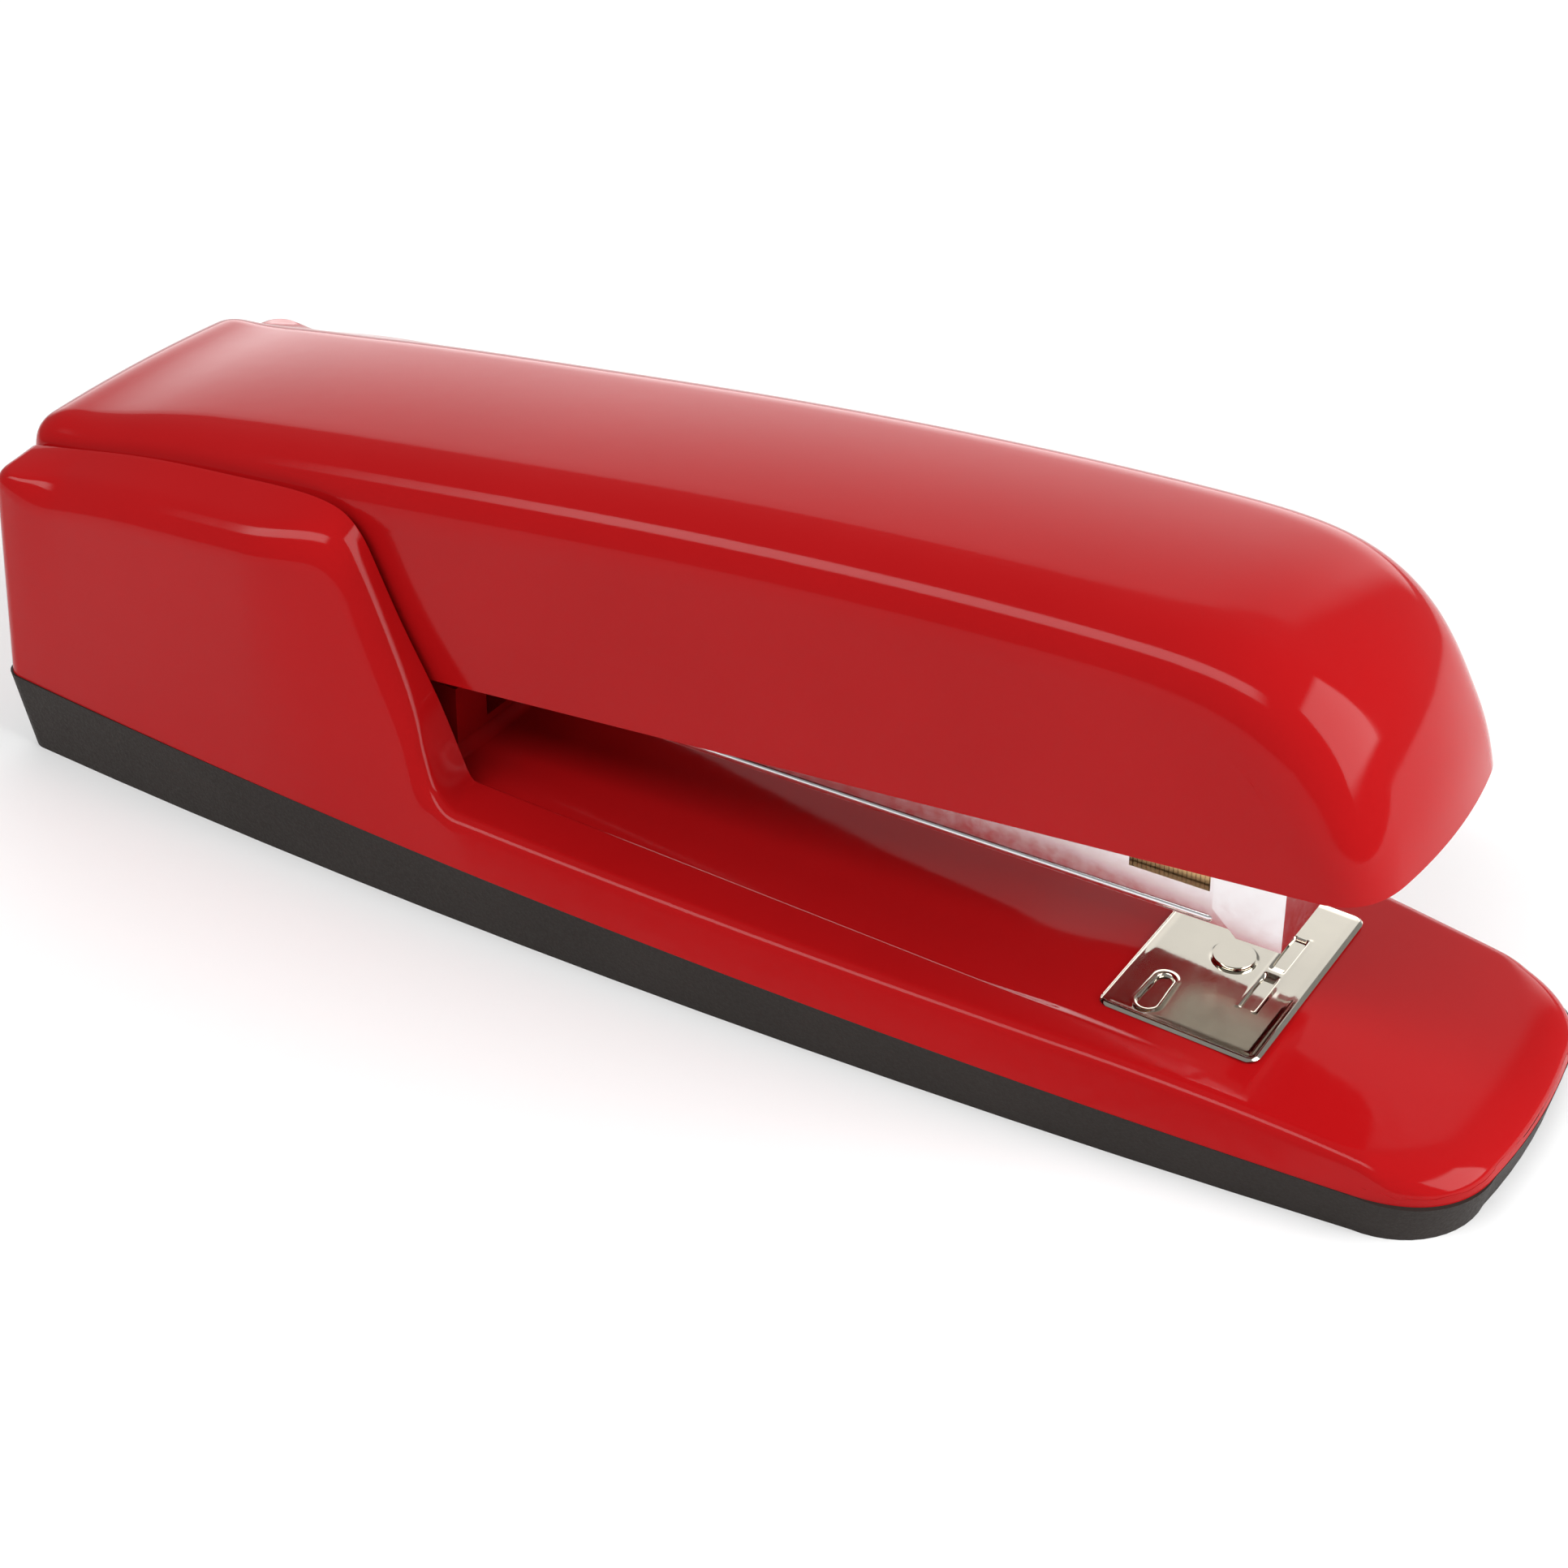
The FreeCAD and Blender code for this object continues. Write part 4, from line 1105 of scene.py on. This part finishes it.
NODE_FINISH = {
    "base_pad": BLACK,
    "hinge_bracket_right": PLATED,
    "hinge_bracket_left": PLATED,
    "magazine_guide": RED,
    "bracket_rivets": PLATED,
    "guide_rivets": PLATED,
    "hinge_pin": PLATED,
    "pin_washer_left": SPRING,
    "pin_washer_right": SPRING,
    "anvil_stud": NICKEL,
    "anvil_button": BUTTON,
    "anvil_washer": PLATED,
    "anvil_spring": SPRING,
    "magazine_channel": HEAD,
    "magazine_head": HEAD,
    "staple_rail": PLATED,
    "pusher": PLATED,
    "spring_rod": PLATED,
    "rod_anchor": PLATED,
    "cover_frame": PLATED,
    "driver_blade": SPRING,
    "driver_rivets": PLATED,
    "frame_posts": PLATED,
}


SOFT_EDGE = 0.12
SOFT_SEGMENTS = 2
SOFT_ANGLE = math.radians(40.0)


def finish_nodes():
    """Gives each carried-over CAD node its material and softens its edges a little."""
    for name, material in NODE_FINISH.items():
        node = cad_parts[name]
        node.data.materials.clear()
        node.data.materials.append(material)
        if not node.hide_render:
            soft = node.modifiers.new("Soft", "BEVEL")
            soft.width = SOFT_EDGE * MM
            soft.segments = SOFT_SEGMENTS
            soft.limit_method = "ANGLE"
            soft.angle_limit = SOFT_ANGLE
            soft.harden_normals = False


finish_nodes()


# ---------------------------------------------------------------- stage, light and camera


def build_stage():
    """A plain pale floor that sweeps up behind the object."""
    half, gap = 6.0, 0.00002  # the gap keeps the floor clear of the pad's flat underside
    profile = [(-half, 0.0), (2.2, 0.0), (2.6, 0.05), (2.9, 0.2), (3.1, 0.5), (3.15, 4.5)]
    at, length = natural_spline(profile)
    line = at(np.linspace(0.0, length, 60))
    line[:, 1] = np.maximum(line[:, 1], 0.0)
    points = [(x, y, z - gap) for y, z in line for x in (-half, half)]
    faces = [(2 * i, 2 * i + 1, 2 * i + 3, 2 * i + 2) for i in range(len(line) - 1)]
    mesh = bpy.data.meshes.new("floor")
    mesh.from_pydata(points, [], faces)
    floor = add_object("floor", mesh)
    for face in mesh.polygons:
        face.use_smooth = True
    n = Nodes("floor")
    n.set(Base_Color=(0.9, 0.9, 0.9, 1.0), Roughness=0.7)
    mesh.materials.append(n.material)


RIM_START = 0.97


def softbox(name, centre, along, size, power, below=0.1, above=0.1, dim=0.0, sides=0.12):
    """A rectangular light at centre, in metres, that faces the origin. Its width lies along the
    direction along. The other numbers are shares of its size. It fades over sides at each end
    and over below at its lower edge. Over the upper share, above, it fades to dim of its
    strength, and from there to nothing at the rim."""
    light = bpy.data.lights.new(name, "AREA")
    light.shape = "RECTANGLE"
    light.size, light.size_y = size
    light.energy = power
    light.use_nodes = True
    tree = light.node_tree
    place = tree.nodes.new("ShaderNodeNewGeometry")
    split = tree.nodes.new("ShaderNodeSeparateXYZ")
    tree.links.new(place.outputs["Parametric"], split.inputs[0])
    edges = [
        ("X", 0.0, sides, 0.0),
        ("X", 1.0, 1.0 - sides, 0.0),
        ("Y", 0.0, below, 0.0),
        ("Y", 1.0, 1.0 - above, dim),
        ("Y", 1.0, RIM_START, 0.0),
    ]
    result = None
    for axis, outer, inner, least in edges:
        soft = tree.nodes.new("ShaderNodeMapRange")
        soft.interpolation_type = "SMOOTHSTEP"
        soft.inputs["From Min"].default_value = outer
        soft.inputs["From Max"].default_value = inner
        soft.inputs["To Min"].default_value = least
        tree.links.new(split.outputs[axis], soft.inputs["Value"])
        if result is None:
            result = soft.outputs["Result"]
            continue
        both = tree.nodes.new("ShaderNodeMath")
        both.operation = "MULTIPLY"
        tree.links.new(result, both.inputs[0])
        tree.links.new(soft.outputs["Result"], both.inputs[1])
        result = both.outputs["Value"]
    tree.links.new(result, tree.nodes["Emission"].inputs["Strength"])
    lamp = bpy.data.objects.new(name, light)
    bpy.context.scene.collection.objects.link(lamp)
    away = Vector(centre).normalized()
    across = Vector(along)
    across = (across - across.dot(away) * away).normalized()
    facing = Matrix((across, away.cross(across), away)).transposed()
    lamp.matrix_world = Matrix.LocRotScale(Vector(centre), facing, None)


def build_light():
    """A white surround and three softboxes: behind, above the near side and to the right."""
    world = bpy.data.worlds.new("studio")
    bpy.context.scene.world = world
    world.use_nodes = True
    back = world.node_tree.nodes["Background"]
    back.inputs["Color"].default_value = (1.0, 1.0, 1.0, 1.0)
    back.inputs["Strength"].default_value = 0.33
    softbox(
        "back_box",
        centre=(-0.547, 1.028, 0.32),
        along=(-0.807, -0.428, -0.407),
        size=(2.2, 1.0),
        power=18.5,
        below=0.06,
        above=0.7,
        dim=0.26,
        sides=0.15,
    )
    softbox(
        "strip_box",
        centre=(-0.25, -0.7, 0.93),
        along=(1.0, 0.0, 0.0),
        size=(1.8, 0.36),
        power=14.0,
        sides=0.2,
    )
    softbox(
        "right_box",
        centre=(0.88, 0.2, 0.56),
        along=(-0.21, 0.98, 0.0),
        size=(0.9, 0.82),
        power=14.0,
        sides=0.04,
    )


VIEW_TURN = 32.215  # degrees round from the near side towards the nose
VIEW_TILT = 34.311  # degrees down
EYE = (144.8, -225.5, 194.2)
FOCAL = 65.96
SENSOR = 36.0
NEAREST = 0.01  # metres


def build_camera():
    """The camera at the main view's angle."""
    turn, tilt = math.radians(VIEW_TURN), math.radians(VIEW_TILT)
    back = Vector(
        (
            math.sin(turn) * math.cos(tilt),
            -math.cos(turn) * math.cos(tilt),
            math.sin(tilt),
        )
    )
    data = bpy.data.cameras.new("camera")
    data.lens = FOCAL
    data.sensor_width = SENSOR
    data.clip_start = NEAREST
    camera = bpy.data.objects.new("camera", data)
    bpy.context.scene.collection.objects.link(camera)
    camera.location = Vector(EYE) * MM
    camera.rotation_euler = back.to_track_quat("Z", "Y").to_euler()
    bpy.context.scene.camera = camera


build_stage()
build_light()
build_camera()
bpy.context.scene.view_settings.view_transform = "Standard"
